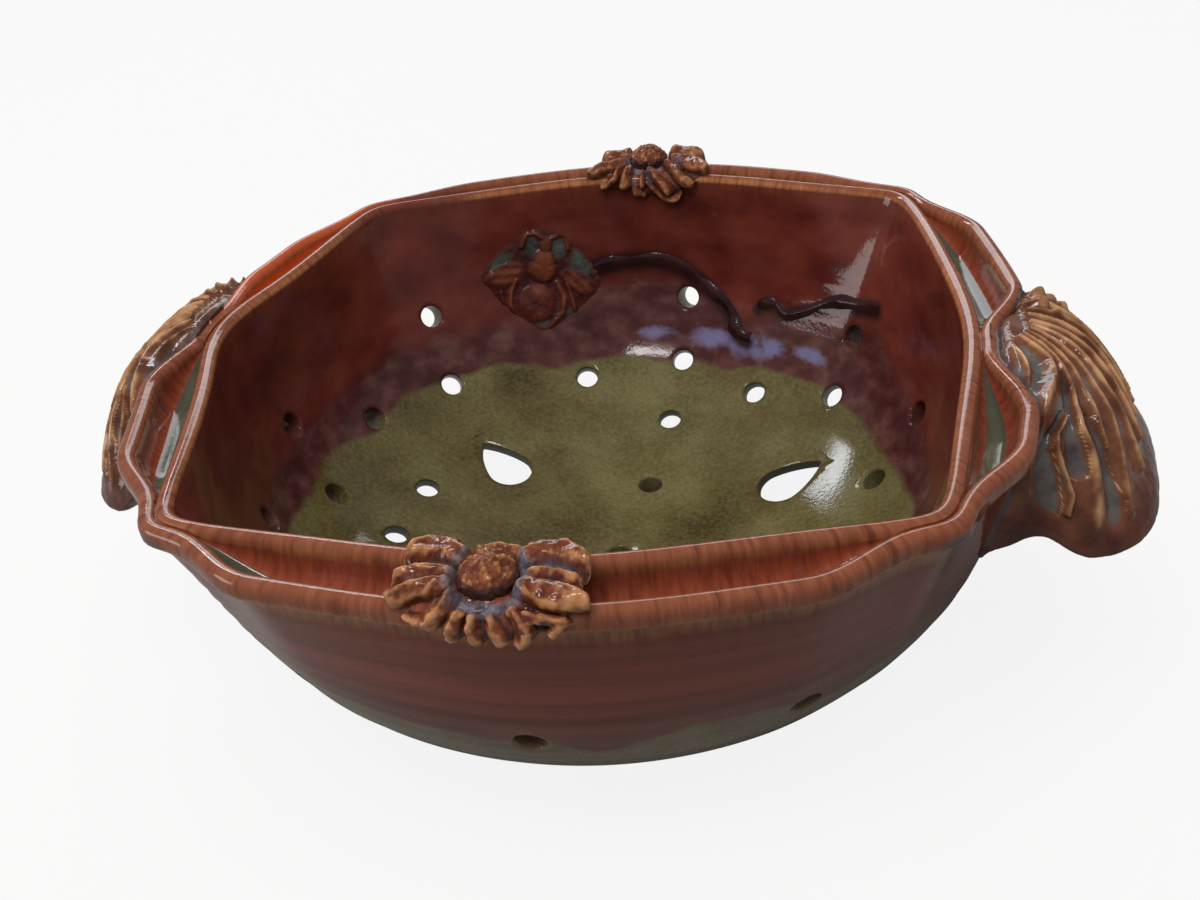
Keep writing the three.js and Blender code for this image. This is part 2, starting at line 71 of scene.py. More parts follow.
outwards = math.cos(ELEVATION)
back = Vector((math.sin(AZIMUTH) * outwards, -math.cos(AZIMUTH) * outwards, math.sin(ELEVATION)))
level = Vector((0, 0, 1)).cross(back).normalized()
upright = back.cross(level)
right = level * math.cos(ROLL) - upright * math.sin(ROLL)
up = level * math.sin(ROLL) + upright * math.cos(ROLL)
camera_data = bpy.data.cameras.new("camera")
camera_data.sensor_width = SENSOR_WIDTH
camera_data.lens = FOCAL_PIXELS / PICTURE_WIDTH * SENSOR_WIDTH
camera = bpy.data.objects.new("camera", camera_data)
camera.matrix_world = Matrix.Translation(CAMERA_PLACE) @ Matrix((right, up, back)).transposed().to_4x4()
bpy.context.scene.collection.objects.link(camera)
bpy.context.scene.camera = camera
print("camera lens", round(camera_data.lens, 2), "mm")

# %% [markdown]
# ## Working clay in Blender
# Nothing on this bowl is flat or straight, so no piece can stay a box or a cylinder. Each one starts
# as a plain grid, as clay starts as a slab. Its points are then moved to where a short formula puts
# them, and edit mode welds its seams. These few helpers are used for every piece.

# %% Helpers for clay
WELD = 0.00002


def alone(piece):
    """Select one object and nothing else."""
    bpy.ops.object.select_all(action="DESELECT")
    piece.select_set(True)
    bpy.context.view_layer.objects.active = piece


def spots(piece):
    """The points of a mesh, in millimetres."""
    flat = np.empty(len(piece.data.vertices) * 3, np.float32)
    piece.data.vertices.foreach_get("co", flat)
    return flat.reshape(-1, 3).astype(float) / MM


def move_spots(piece, places):
    piece.data.vertices.foreach_set("co", (places * MM).astype(np.float32).ravel())
    piece.data.update()


def clay_sheet(name, columns, rows, place):
    """A grid whose points go to place(across, along), where both run from 0 to 1."""
    bpy.ops.object.select_all(action="DESELECT")
    bpy.ops.mesh.primitive_grid_add(x_subdivisions=columns, y_subdivisions=rows, size=1)
    sheet = bpy.context.object
    sheet.name = name
    sheet.data.name = name
    flat = spots(sheet) * MM + 0.5
    across = np.rint(flat[:, 0] * columns) / columns
    along = np.rint(flat[:, 1] * rows) / rows
    move_spots(sheet, place(across, along))
    return sheet


def weld(piece):
    """Close the seams of a sheet that meets itself, and turn its faces outwards."""
    alone(piece)
    bpy.ops.object.mode_set(mode="EDIT")
    bpy.ops.mesh.select_all(action="SELECT")
    bpy.ops.mesh.remove_doubles(threshold=WELD)
    bpy.ops.mesh.normals_make_consistent(inside=False)
    bpy.ops.object.mode_set(mode="OBJECT")


print("seams are welded within", WELD / MM, "mm")

# %% Helpers for shaping


def apply_modifier(piece, kind, **settings):
    alone(piece)
    modifier = piece.modifiers.new(kind.lower(), kind)
    for name, value in settings.items():
        setattr(modifier, name, value)
    bpy.ops.object.modifier_apply(modifier=modifier.name)


def smooth(piece, angle):
    alone(piece)
    bpy.ops.object.shade_smooth_by_angle(angle=math.radians(angle))


def mix(low, high, share):
    return low + (high - low) * share


def ease(value, start, end):
    """0 before start, 1 after end, and a smooth ramp between them."""
    share = np.clip((value - start) / (end - start), 0, 1)
    return share * share * (3 - 2 * share)


def store(piece, **values):
    """Keep a number or a direction for each point of a mesh, for its finish to read."""
    for name, numbers in values.items():
        is_number = np.ndim(numbers) == 1
        layer = piece.data.attributes.new(name, "FLOAT" if is_number else "FLOAT_VECTOR", "POINT")
        field = "value" if is_number else "vector"
        layer.data.foreach_set(field, np.asarray(numbers, np.float32).ravel())


print("shaping helpers ready")

# %% Helpers for relief
NEIGHBOUR_SHARE = 0.6
LUMP_NOISE = (0.9, 2.1, 3)
FAR_OFF = 9.0


def hollowness(piece, rounds):
    """How far each point lies below its neighbours in millimetres: above 0 in a hollow."""
    places = spots(piece)
    ends = np.empty(len(piece.data.edges) * 2, np.int32)
    piece.data.edges.foreach_get("vertices", ends)
    first, second = ends.reshape(-1, 2).T
    count = np.bincount(ends, minlength=len(places))[:, None]
    mean = places.copy()
    for _ in range(rounds):
        total = np.zeros_like(mean)
        for axis in range(3):
            total[:, axis] += np.bincount(first, mean[second, axis], len(places))
            total[:, axis] += np.bincount(second, mean[first, axis], len(places))
        mean = mix(mean, total / np.maximum(count, 1), NEIGHBOUR_SHARE)
    normals = np.empty(len(places) * 3, np.float32)
    piece.data.vertex_normals.foreach_get("vector", normals)
    return np.sum((mean - places) * normals.reshape(-1, 3), axis=1)


def crumple(piece, size, depth):
    """Push the points of a mesh in and out unevenly, in lumps of a size in millimetres."""
    places = spots(piece)
    normals = np.empty(len(places) * 3, np.float32)
    piece.data.vertex_normals.foreach_get("vector", normals)
    lumps = np.array([clay_noise.fractal(Vector(place) / size, *LUMP_NOISE) for place in places])
    move_spots(piece, places + normals.reshape(-1, 3) * (depth * lumps)[:, None])


def beside_line(x, y, stops):
    """The distance from a drawn line, in half widths. Each stop is a place and half a width."""
    best = np.full_like(x, FAR_OFF)
    for (x1, y1, wide1), (x2, y2, wide2) in zip(stops, stops[1:]):
        run, fall = x2 - x1, y2 - y1
        share = np.clip(((x - x1) * run + (y - y1) * fall) / (run ** 2 + fall ** 2), 0, 1)
        away = np.hypot(x - mix(x1, x2, share), y - mix(y1, y2, share))
        best = np.minimum(best, away / mix(wide1, wide2, share))
    return best


print("relief helpers ready")

# %% [markdown]
# ## The form of the bowl
# The lips follow a square with bowed sides and pinched corners. Between the corners and the handles
# the split rim opens into six leaf-shaped lobes, and at those places it is pressed shut. The wall
# falls to a round floor. The same measures as in the solid are written here in millimetres, so both
# have one form.

# %% Measures of the bowl
RIM_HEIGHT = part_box("bowl_body")[1].z / MM
CORNER_REACHES = np.array([106.5, 109.5, 109.5, 106.5])
SIDE_REACHES = np.array([88, 96.5, 93.5, 90.5])
LEFT_PULL = 4.5
PULL_SPREAD = 13
BELLY_REACHES = np.array([98, 100, 101.5, 100])
CORNER_ANGLES = [45, 135, 225, 315]
HANDLE_ANGLES = {"right": -6, "left": 177}
LOBE_STARTS = np.array([45, 135, 177, 225, 315, 354])
LOBE_GAPS = np.array([8, 10, 13.5, 14, 13, 13])
LIP_THICKNESS = 4.2
HALF_LIP = LIP_THICKNESS / 2
LIP_PINCH = 3.6
GROOVE_DEPTH = 9.5
PINCH_CREASE = 1.4
CREASE_WIDTH = 0.6
BEAD_HEIGHT = 6.5
BEAD_UNDERCUT = 0.8
LOBE_FADE = 36
WALL_THICKNESS = 8
BASE_LIFT = 6
FLOOR_HEIGHT = 14
FOOT_RADIUS = 41.5
FOOT_WIDTH = 5
OUTER_PROFILE = np.array([[1, 0], [1, 0.7], [0.95, 1], [0, 1]])
INNER_PROFILE = np.array([[1, 0], [0.99, 0.64], [0.92, 1], [0, 1]])
print("rim", round(RIM_HEIGHT, 1), "mm high")

# %% Rim
HALF_SIDE = 45
CORNER_ROUND = 0.06
CORNER_POWER = 3.3
PINCHED_WITHIN, OPEN_BEYOND = 2.5, 17


def angle_between(one, other):
    return np.abs((one - other + 180) % 360 - 180)


def along_sides(sizes, angle):
    """A size given for the right, back, left and front, passing smoothly from one to the next."""
    turn = (angle % 360) / 90
    side = np.floor(turn).astype(int) % 4
    return mix(sizes[side], sizes[(side + 1) % 4], ease(turn - np.floor(turn), 0, 1))


def lip_radius(angle):
    """From the axis to the middle of the inner lip."""
    from_corners = np.array([angle_between(angle, corner) for corner in CORNER_ANGLES])
    corner = CORNER_REACHES[np.argmin(from_corners, axis=0)]
    share = 1 + CORNER_ROUND - np.hypot(np.min(from_corners, axis=0) / HALF_SIDE, CORNER_ROUND)
    pull = LEFT_PULL * np.exp(-((angle_between(angle, HANDLE_ANGLES["left"]) / PULL_SPREAD) ** 2))
    side = along_sides(SIDE_REACHES, angle) + pull
    return side + (corner - side) * share ** CORNER_POWER


def lobe_share(angle):
    """How far the split rim has opened: 0 at a pinch and 1 along a lobe."""
    pinches = CORNER_ANGLES + list(HANDLE_ANGLES.values())
    away = np.min([angle_between(angle, pinch) for pinch in pinches], axis=0)
    return ease(away, PINCHED_WITHIN, OPEN_BEYOND)


def lip_gap(angle):
    """From the middle of the inner lip to the middle of the outer one."""
    lobe = np.searchsorted(LOBE_STARTS, angle % 360, side="right") - 1
    return mix(LIP_PINCH, LOBE_GAPS[lobe], lobe_share(angle))


print("inner lip on the right", round(lip_radius(np.array([0.0]))[0], 1), "mm from the axis")

# %% Walls
BELLY_POWER = 2.6
HALVINGS = 40


def curve(corners, share):
    """A point on a curve with four corners, at a share of its length."""
    rest = 1 - share
    weights = (rest ** 3, 3 * rest * rest * share, 3 * rest * share * share, share ** 3)
    return tuple(
        sum(weight * corner[axis] for weight, corner in zip(weights, corners)) for axis in (0, 1)
    )


def outer_wall(angle, share):
    out, fall = curve(OUTER_PROFILE, share)
    drop = fall * (RIM_HEIGHT - BASE_LIFT)
    lip = lip_radius(angle) + LIP_PINCH + HALF_LIP
    lobe = (lip_gap(angle) - LIP_PINCH) * (1 - fall) * np.exp(-drop / LOBE_FADE)
    radius = out * mix(along_sides(BELLY_REACHES, angle), lip, (1 - fall) ** BELLY_POWER) + lobe
    return radius, RIM_HEIGHT - drop


def inner_wall(angle, share):
    out, fall = curve(INNER_PROFILE, share)
    top = RIM_HEIGHT - HALF_LIP
    belly = along_sides(BELLY_REACHES, angle) - WALL_THICKNESS
    radius = out * mix(belly, lip_radius(angle) - HALF_LIP, (1 - fall) ** BELLY_POWER)
    return radius, top - fall * (top - FLOOR_HEIGHT)


def share_where(measure, value, angle):
    """The share of the way down a wall where a falling measure passes a value."""
    above = np.zeros_like(angle, dtype=float)
    below = np.ones_like(angle, dtype=float)
    for _ in range(HALVINGS):
        middle = (above + below) / 2
        higher = measure(angle, middle) > value
        above = np.where(higher, middle, above)
        below = np.where(higher, below, middle)
    return above


def ring_points(radius, angle, height):
    turn = np.radians(angle)
    return np.stack([radius * np.cos(turn), radius * np.sin(turn), height], axis=-1)


print("walls", WALL_THICKNESS, "mm thick and floor", FLOOR_HEIGHT, "mm above the table")

# %% [markdown]
# ## Throwing and pinching the body
# A round bowl could be spun from one profile. Here the profile changes all the way round, so the
# sheet has one column for each angle, and one row for each point of the upright section. It runs from
# the middle of the floor up the inside, over both lips and the groove between them, down the outside
# and under the foot.

# %% The upright section
INSIDE_ROWS, LIP_ROWS, GROOVE_ROWS, BEAD_ROWS, OUTSIDE_ROWS, UNDER_ROWS = 66, 9, 16, 8, 46, 8
BOWL_COLUMNS = 400
INSIDE, LIPS, GROOVE, TROUGH, OUTSIDE, FOOT = range(6)
THROWING_STEP = 5.2
THROWING_RIDGE = 0.13
RIDGE_SHARE_INSIDE = 0.3
# Throwing lines fade near the floor, the lips, the rim and the base, in millimetres from smooth to full
FLOOR_SMOOTH, FLOOR_FULL = 8, 24
LIP_SMOOTH, LIP_FULL = 4, 16
RIM_FADE, BASE_FADE = (10, 22), (14, 24)
TROUGH_HALF = 0.42
GROOVE_SQUARE, GROOVE_ROUND = 0.9, 0.7
THIN_EDGE = 0.8
FOOT_FLARE = 2.5
UNDERCUT_FADE = 2.5


def throwing_lines(angle, height):
    """The low spiral ridges that the fingers leave in the turning clay."""
    return THROWING_RIDGE * np.sin(2 * np.pi * height / THROWING_STEP + np.radians(angle))


def bowl_section(angle):
    """The rows of the bowl at these angles: radius, height, zone, and how far on a thin edge."""
    rows = []
    gap = lip_gap(angle)
    inner = lip_radius(angle)
    outer = inner + gap
    lobe = lobe_share(angle)
    top = RIM_HEIGHT - HALF_LIP

    for step in range(INSIDE_ROWS + 1):
        radius, height = inner_wall(angle, 1 - step / INSIDE_ROWS)
        fade = ease(height, FLOOR_HEIGHT + FLOOR_SMOOTH, FLOOR_HEIGHT + FLOOR_FULL)
        fade = fade * (1 - ease(height, top - LIP_FULL, top - LIP_SMOOTH))
        ridge = RIDGE_SHARE_INSIDE * fade * throwing_lines(angle, height)
        rows.append((radius + ridge, height, INSIDE, 0))

    lip_end = np.arccos(np.minimum((gap - CREASE_WIDTH) / LIP_THICKNESS, 1))
    for step in range(1, LIP_ROWS + 1):
        turn = mix(np.pi, lip_end, step / LIP_ROWS)
        edge = max(ease(step, 4, 1.5), THIN_EDGE * ease(step, LIP_ROWS - 3, LIP_ROWS))
        rows.append((inner + HALF_LIP * np.cos(turn), top + HALF_LIP * np.sin(turn), LIPS, edge))

    mouth = gap / 2 - HALF_LIP * np.cos(lip_end)
    brink = top + HALF_LIP * np.sin(lip_end)
    depth = brink - RIM_HEIGHT + mix(PINCH_CREASE, GROOVE_DEPTH, lobe)
    for step in range(1, GROOVE_ROWS):
        turn = np.pi * step / GROOVE_ROWS
        across = -np.sign(np.cos(turn)) * abs(np.cos(turn)) ** GROOVE_SQUARE
        height = brink - depth * np.sin(turn) ** GROOVE_ROUND
        zone = TROUGH if abs(math.cos(turn)) < TROUGH_HALF else GROOVE
        rows.append((inner + gap / 2 + mouth * across, height, zone, 0))

    for step in range(LIP_ROWS + 1):
        turn = mix(np.pi - lip_end, 0, step / LIP_ROWS)
        edge = THIN_EDGE * ease(step, 3, 0)
        rows.append((outer + HALF_LIP * np.cos(turn), top + HALF_LIP * np.sin(turn), LIPS, edge))

    first = share_where(lambda a, share: outer_wall(a, share)[1], RIM_HEIGHT - BEAD_HEIGHT, angle)
    last = share_where(lambda a, share: outer_wall(a, share)[0], FOOT_RADIUS + FOOT_FLARE, angle)
    tuck = outer_wall(angle, first)[0] - BEAD_UNDERCUT * lobe
    for step in range(1, BEAD_ROWS):
        share = step / BEAD_ROWS
        height = mix(top, RIM_HEIGHT - BEAD_HEIGHT, share)
        edge = ease(share, 0.2, 0.5)
        rows.append((mix(outer + HALF_LIP, tuck, ease(share, 0.45, 1)), height, LIPS, edge))
    for step in range(OUTSIDE_ROWS + 1):
        radius, height = outer_wall(angle, mix(first, last, step / OUTSIDE_ROWS))
        under_bead = np.exp((height - RIM_HEIGHT + BEAD_HEIGHT) / UNDERCUT_FADE)
        radius = radius - BEAD_UNDERCUT * lobe * under_bead
        fade = ease(RIM_HEIGHT - height, *RIM_FADE) * ease(height, *BASE_FADE)
        rows.append((radius + fade * throwing_lines(angle, height), height, OUTSIDE, ease(step, 3, 0)))

    under = rows[-1][1]
    foot_in = FOOT_RADIUS - FOOT_WIDTH
    last_under = share_where(lambda a, share: outer_wall(a, share)[0], foot_in - 2, angle)
    roof = outer_wall(angle, last_under)[1]
    # The trimmed ring: down its outside, across its flat underside and up its inside
    foot = [(FOOT_RADIUS + 0.9, under - 0.7), (FOOT_RADIUS + 0.2, under - 1.8), (FOOT_RADIUS, 2.2)]
    foot += [(FOOT_RADIUS - 0.15, 0.8), (FOOT_RADIUS - 0.9, 0), (foot_in + 0.9, 0)]
    foot += [(foot_in + 0.15, 0.8), (foot_in, 2.2), (foot_in - 0.4, roof - 0.9)]
    rows += [(radius, height, FOOT, 0) for radius, height in foot]
    for step in range(UNDER_ROWS + 1):
        radius, height = outer_wall(angle, mix(last_under, 1, step / UNDER_ROWS))
        rows.append((radius, height, FOOT, 0))
    return [
        (radius + 0 * angle, height + 0 * angle, zone, float(edge))
        for radius, height, zone, edge in rows
    ]


print("lips", LIP_THICKNESS, "mm thick and groove", GROOVE_DEPTH, "mm deep")

# %% Throw the bowl
column_angles = np.arange(BOWL_COLUMNS + 1) * 360 / BOWL_COLUMNS
section_rows = bowl_section(column_angles)
row_radii = np.array([row[0] for row in section_rows])
row_heights = np.array([row[1] for row in section_rows])
row_zones = np.array([row[2] for row in section_rows])
row_edges = np.array([row[3] for row in section_rows])
BOWL_ROWS = len(section_rows) - 1


def place_on_bowl(across, along):
    column = np.rint(across * BOWL_COLUMNS).astype(int)
    row = np.rint(along * BOWL_ROWS).astype(int)
    return ring_points(row_radii[row, column], column_angles[column], row_heights[row, column])


bowl = clay_sheet("bowl_body_glazed", BOWL_COLUMNS, BOWL_ROWS, place_on_bowl)
whole_bowl_spots = spots(bowl)
whole_bowl_rows = np.repeat(np.arange(BOWL_ROWS + 1), BOWL_COLUMNS + 1)
weld(bowl)
print("bowl sheet:", len(bowl.data.vertices), "points in", BOWL_ROWS + 1, "rows")

# %% [markdown]
# ## Piercing the drain holes
# The potter pushes a hole cutter through the leathery clay and then wipes each edge soft. Holes could
# be left out of the sheet row by row, but a boolean cut leaves the wall around them true. The cutter
# is a cylinder whose ends are extruded and flared, so that each hole comes out with a rounded edge
# inside and outside. The potter leans over the bowl and pushes away, so the holes at the back slant
# outwards and light shows through them.

# %% Where the holes go
HOLE_DIAMETER = 6.5
SLOT_LENGTH = 20
SLOT_WIDTH = 13
FOOT_MARGIN = 2
# Each hole has an angle. It lies so far below the rim, above the floor, or out from the foot ring.
WALL_HOLES = [
    (18, 42), (44, 38), (81, 37), (133, 32), (173, 35), (197, 40), (234, 39), (268, 38), (302, 39),
]
SHOULDER_HOLES = [
    (14, 13), (42, 18), (61, 13), (81, 17), (104, 14), (135, 20), (155, 22),
    (177, 17), (204, 16), (230, 16), (256, 15), (284, 16), (312, 14), (340, 15),
]
FLOOR_HOLES = [(81, 16.5), (161, 19.5), (182, 19.5), (208, 18.5), (280, 17.5), (328, 18.5)]
INNER_HOLE_ANGLES = [80, 200, 320]
SLOT_ANGLES = [31, 137, 252]


def inside_frame(angle, share):
    """A place on the inside wall: x runs along the wall, y up it and z out of the clay."""
    def spot(turn, step):
        radius, height = inner_wall(np.array([float(turn)]), np.array([float(step)]))
        return Vector(ring_points(radius, np.array([float(turn)]), height)[0])
    upward = (spot(angle, share - 0.01) - spot(angle, min(share + 0.01, 1))).normalized()
    along = (spot(angle - 1, share) - spot(angle + 1, share))
    if along.length < 1e-6:
        along = upward.cross(Vector((0, 0, 1)))
    along.normalize()
    frame_matrix = Matrix((along, upward, along.cross(upward))).transposed().to_4x4()
    return Matrix.Translation(spot(angle, share) * MM) @ frame_matrix


def share_at_height(angle, height):
    here = np.array([float(angle)])
    return float(share_where(lambda a, share: inner_wall(a, share)[1], height, here)[0])


def share_at_reach(angle, reach):
    here = np.array([float(angle)])
    return float(share_where(lambda a, share: inner_wall(a, share)[0], reach, here)[0])


print(len(WALL_HOLES), "holes in the wall and", len(SHOULDER_HOLES), "below them")

# %% Hole cutters
EDGE_ROUND = 0.9
EDGE_STEPS = 4
EDGE_TURN = math.radians(68)
CUTTER_LENGTH = 5.0
MOUTH_RISE, MOUTH_WIDER = 1.5, 3.0
ROUND_SIDES = 40


def flared_cutter(name, sides, half):
    """A plug with flared ends, with its inner end level with z = 0 and its length going down."""
    bpy.ops.object.select_all(action="DESELECT")
    middle = CUTTER_LENGTH / 2 * MM
    straight = 2 * middle - 2 * EDGE_ROUND * MM
    bpy.ops.mesh.primitive_cylinder_add(
        vertices=sides, radius=half * MM, depth=straight, location=(0, 0, -middle))
    cutter = bpy.context.object
    cutter.name = name
    bpy.ops.object.transform_apply(location=True)
    for end in (1, -1):
        bpy.ops.object.mode_set(mode="EDIT")
        bpy.ops.mesh.select_all(action="DESELECT")
        bpy.ops.object.mode_set(mode="OBJECT")
        for face in cutter.data.polygons:
            face.select = face.normal.z * end > 0.9
        bpy.ops.object.mode_set(mode="EDIT")
        bpy.ops.mesh.select_mode(type="FACE")
        width = half
        for step in range(1, EDGE_STEPS + 2):
            turn = EDGE_TURN * min(step, EDGE_STEPS) / EDGE_STEPS
            rise = EDGE_ROUND * (math.sin(turn) - math.sin(turn - EDGE_TURN / EDGE_STEPS))
            wider = half + EDGE_ROUND * (1 - math.cos(turn))
            if step > EDGE_STEPS:
                rise = MOUTH_RISE
                wider = width + MOUTH_WIDER
            bpy.ops.mesh.extrude_region_move(TRANSFORM_OT_translate={"value": (0, 0, end * rise * MM)})
            bpy.ops.transform.resize(value=(wider / width, wider / width, 1))
            width = wider
        bpy.ops.object.mode_set(mode="OBJECT")
    return cutter


round_cutter = flared_cutter("round_cutter", ROUND_SIDES, HOLE_DIAMETER / 2)
print("round cutter", HOLE_DIAMETER, "mm wide")

# %% Cutter for the slots
SLOT_SIDES = 72
POINT_POWER, SIDE_POWER = 1.5, 0.85
LOOK_BESIDE = 0.03


def drop_outline(turn):
    """The outline of a drop at an angle from its point: round below and drawn out above."""
    half = SLOT_WIDTH / 2
    tail = SLOT_LENGTH - half
    rise = np.maximum(np.cos(turn), 0)
    width = np.where(rise > 0, (1 - rise ** POINT_POWER) ** SIDE_POWER, np.abs(np.sin(turn)))
    height = np.where(rise > 0, tail * rise, half * np.cos(turn))
    return np.stack([half * width * np.sign(np.sin(turn)), height], axis=-1)


def drop_shape(places):
    """Turn a round cutter into a drop, with its flare kept the same all round."""
    turn = np.arctan2(places[:, 0], places[:, 1])
    along = drop_outline(turn + LOOK_BESIDE) - drop_outline(turn - LOOK_BESIDE)
    along /= np.maximum(np.linalg.norm(along, axis=1), 1e-9)[:, None]
    flare = np.hypot(places[:, 0], places[:, 1]) - SLOT_WIDTH / 2
    shaped = places.copy()
    shaped[:, :2] = drop_outline(turn) + np.stack([-along[:, 1], along[:, 0]], axis=-1) * flare[:, None]
    return shaped


slot_cutter = flared_cutter("slot_cutter", SLOT_SIDES, SLOT_WIDTH / 2)
move_spots(slot_cutter, drop_shape(spots(slot_cutter)))
print("slot cutter", SLOT_LENGTH, "by", SLOT_WIDTH, "mm")

# %% Lean of each hole
HAND_PLACE = Vector((45, -260, 225)) * MM
SLANT_SHARE = 0.75
MOST_SLANT = 0.95
LEAST_PUSH = 0.3
START_INSIDE = 0.5


def wall_depth(matrix):
    """How thick the clay is behind a place on the inside wall, in millimetres."""
    inward = -(matrix.to_3x3() @ Vector((0, 0, 1)))
    start = matrix.translation + inward * START_INSIDE * MM
    hit, place, _, _ = bowl.ray_cast(start, inward)
    return ((place - matrix.translation).length / MM) if hit else 2 * WALL_THICKNESS


def slant(matrix):
    """How far a hole leans along and up the wall, pushed away by a hand in front of the bowl."""
    push = matrix.to_3x3().transposed() @ (matrix.translation - HAND_PLACE).normalized()
    reach = Vector((matrix.translation.x, matrix.translation.y, 0))
    if push.z > -LEAST_PUSH or reach.length < (FOOT_RADIUS + FOOT_MARGIN) * MM:
        return np.zeros(2)
    lean = np.array([push.x, push.y]) / -push.z * SLANT_SHARE
    lean *= min(1, MOST_SLANT / max(np.hypot(*lean), 1e-6))
    away = matrix.to_3x3() @ Vector((lean[0], lean[1], 0))
    return lean if away.dot(reach) > 0 else np.zeros(2)


inner_reach = FOOT_RADIUS - FOOT_WIDTH - FOOT_MARGIN - HOLE_DIAMETER / 2
slot_reach = FOOT_RADIUS + FOOT_MARGIN + SLOT_WIDTH / 2
hole_places = [(angle, share_at_height(angle, RIM_HEIGHT - drop)) for angle, drop in WALL_HOLES]
hole_places += [(angle, share_at_height(angle, FLOOR_HEIGHT + rise)) for angle, rise in SHOULDER_HOLES]
hole_places += [(angle, share_at_reach(angle, FOOT_RADIUS + out)) for angle, out in FLOOR_HOLES]
hole_places += [(angle, share_at_reach(angle, inner_reach)) for angle in INNER_HOLE_ANGLES]
hole_places += [(0, 1.0)]
slot_places = [(angle, share_at_reach(angle, slot_reach)) for angle in SLOT_ANGLES]
print(len(hole_places), "places for holes and", len(slot_places), "for slots")

# %% Pierce the wall
cutters = []
for pattern, places in ((round_cutter, hole_places), (slot_cutter, slot_places)):
    for angle, share in places:
        matrix = inside_frame(angle, share)
        copy = pattern.copy()
        copy.data = pattern.data.copy()
        bpy.context.scene.collection.objects.link(copy)
        points = spots(copy)
        points[:, 2] -= np.where(points[:, 2] < -CUTTER_LENGTH / 2, wall_depth(matrix) - CUTTER_LENGTH, 0)
        points[:, :2] += slant(matrix) * np.maximum(-points[:, 2:], 0)
        move_spots(copy, points)
        copy.data.transform(matrix)
        cutters.append(copy)

bpy.ops.object.select_all(action="DESELECT")
for cutter in cutters:
    cutter.select_set(True)
bpy.context.view_layer.objects.active = cutters[0]
bpy.ops.object.join()
all_cutters = bpy.context.object
apply_modifier(bowl, "BOOLEAN", object=all_cutters, operation="DIFFERENCE", solver="EXACT")
for cutter in (all_cutters, round_cutter, slot_cutter):
    bpy.data.objects.remove(cutter)
smooth(bowl, angle=50)
print("pierced the wall", len(cutters), "times:", len(bowl.data.polygons), "faces")

# %% [markdown]
# ## Where the glaze lies on the body
# Two glazes meet on the bowl: burgundy was poured over the top and olive green over the floor and the
# base. Their border is wavy, because both ran in the kiln. Glaze also thins to amber on sharp edges
# and pools grey green in hollows. Each point of the mesh keeps numbers for this, worked out from its
# place, and the finish reads them.

# %% Where glazes meet and pool
# The border of the two glazes inside and outside: angles round the bowl and heights above the table
INNER_BORDER = np.array([
    (0, 31.5), (20, 30.5), (45, 32.5), (70, 30), (100, 32), (113, 31), (123, 35), (140, 36),
    (157, 34.5), (173, 37.5), (182, 35), (195, 39), (225, 37), (260, 34), (300, 36), (335, 33),
])
OUTER_BORDER = np.array([
    (20, 41), (60, 45), (100, 42), (140, 45), (180, 41), (215, 46), (240, 45.5), (256, 43),
    (271, 42), (276, 39.5), (287, 45), (297, 43), (307, 39), (312, 42), (340, 44),
])
# How far up the inside the two glazes ran into each other
DUSK_TOPS = np.array([
    (0, 40), (10, 41), (28, 46), (38, 52), (46, 53), (52, 50), (58, 46), (66, 46), (71, 43),
    (76, 48), (82, 54), (90, 56), (98, 54), (110, 45), (125, 45), (140, 48), (155, 48), (180, 46),
    (225, 48), (270, 46), (330, 43),
])
# Lines trailed in dark slip on the back wall: angles round the bowl and heights above the table
TRAILS = [
    [(100, 56.0), (96, 57.4), (92.5, 57.9), (87.5, 57.9), (82.5, 56), (78.5, 51.7), (75.2, 47.8),
     (72.5, 44.5), (70.8, 41.5), (70, 38.7), (68, 37.1), (66.5, 36.8)],
    [(66, 45.8), (64.2, 47.3), (62.2, 47.3), (59.8, 45.4), (56.8, 46.7), (52.8, 50.1), (49, 52.5),
     (45, 53.3), (40.2, 55.2)],
]
# Half the width of the dark border of each line, where it starts and where it ends
TRAIL_BORDERS = [(4.2, 2.2), (2.0, 2.8)]
# Where the lips are rolled over at a corner, and stay dark
ROLLED_ANGLE, ROLLED_WIDTH = 131, 10
# The lobe of the rim whose groove has painted orange sunlight, beside a dark outer lip
LEFT_LOBE_ANGLE = 152
# Patches of blue violet inside and of slate by the lips: angle, height, and half as wide and as tall
VIOLET_PATCHES = [
    (75, 37, 5.5, 3.0), (67, 36, 5.5, 3.2), (61, 37, 4, 2.4), (87, 37.4, 5, 1.8), (52, 38, 4, 1.8),
]
SLATE_PATCHES = [
    (224, 79.5, 4, 3), (233, 74.5, 3, 3.5), (316, 79, 5, 3), (45, 80, 4, 2.5), (135, 80, 4, 2.5),
]
print(len(TRAILS), "trailed lines and", len(VIOLET_PATCHES), "patches of violet")

# %% Helpers for glaze numbers
MM_PER_DEGREE = 1.66


def border_height(border, angle):
    return np.interp(angle, border[:, 0], border[:, 1], period=360)


def nearest(piece, places):
    """For each point of a mesh, the number of the nearest earlier place, and how far off it is."""
    tree = KDTree(len(places))
    for index, place in enumerate(places):
        tree.insert(place, index)
    tree.balance()
    found = [tree.find(place) for place in spots(piece)]
    return np.array([index for _, index, _ in found]), np.array([away for _, _, away in found])


def patches(places, angle, height):
    """How strongly each point lies in one of some round patches."""
    share = np.zeros_like(angle)
    for middle, level, wide, tall in places:
        away = np.hypot(angle_between(angle, middle) / wide, (height - level) / tall)
        share = np.maximum(share, np.exp(-(away ** 2)))
    return share


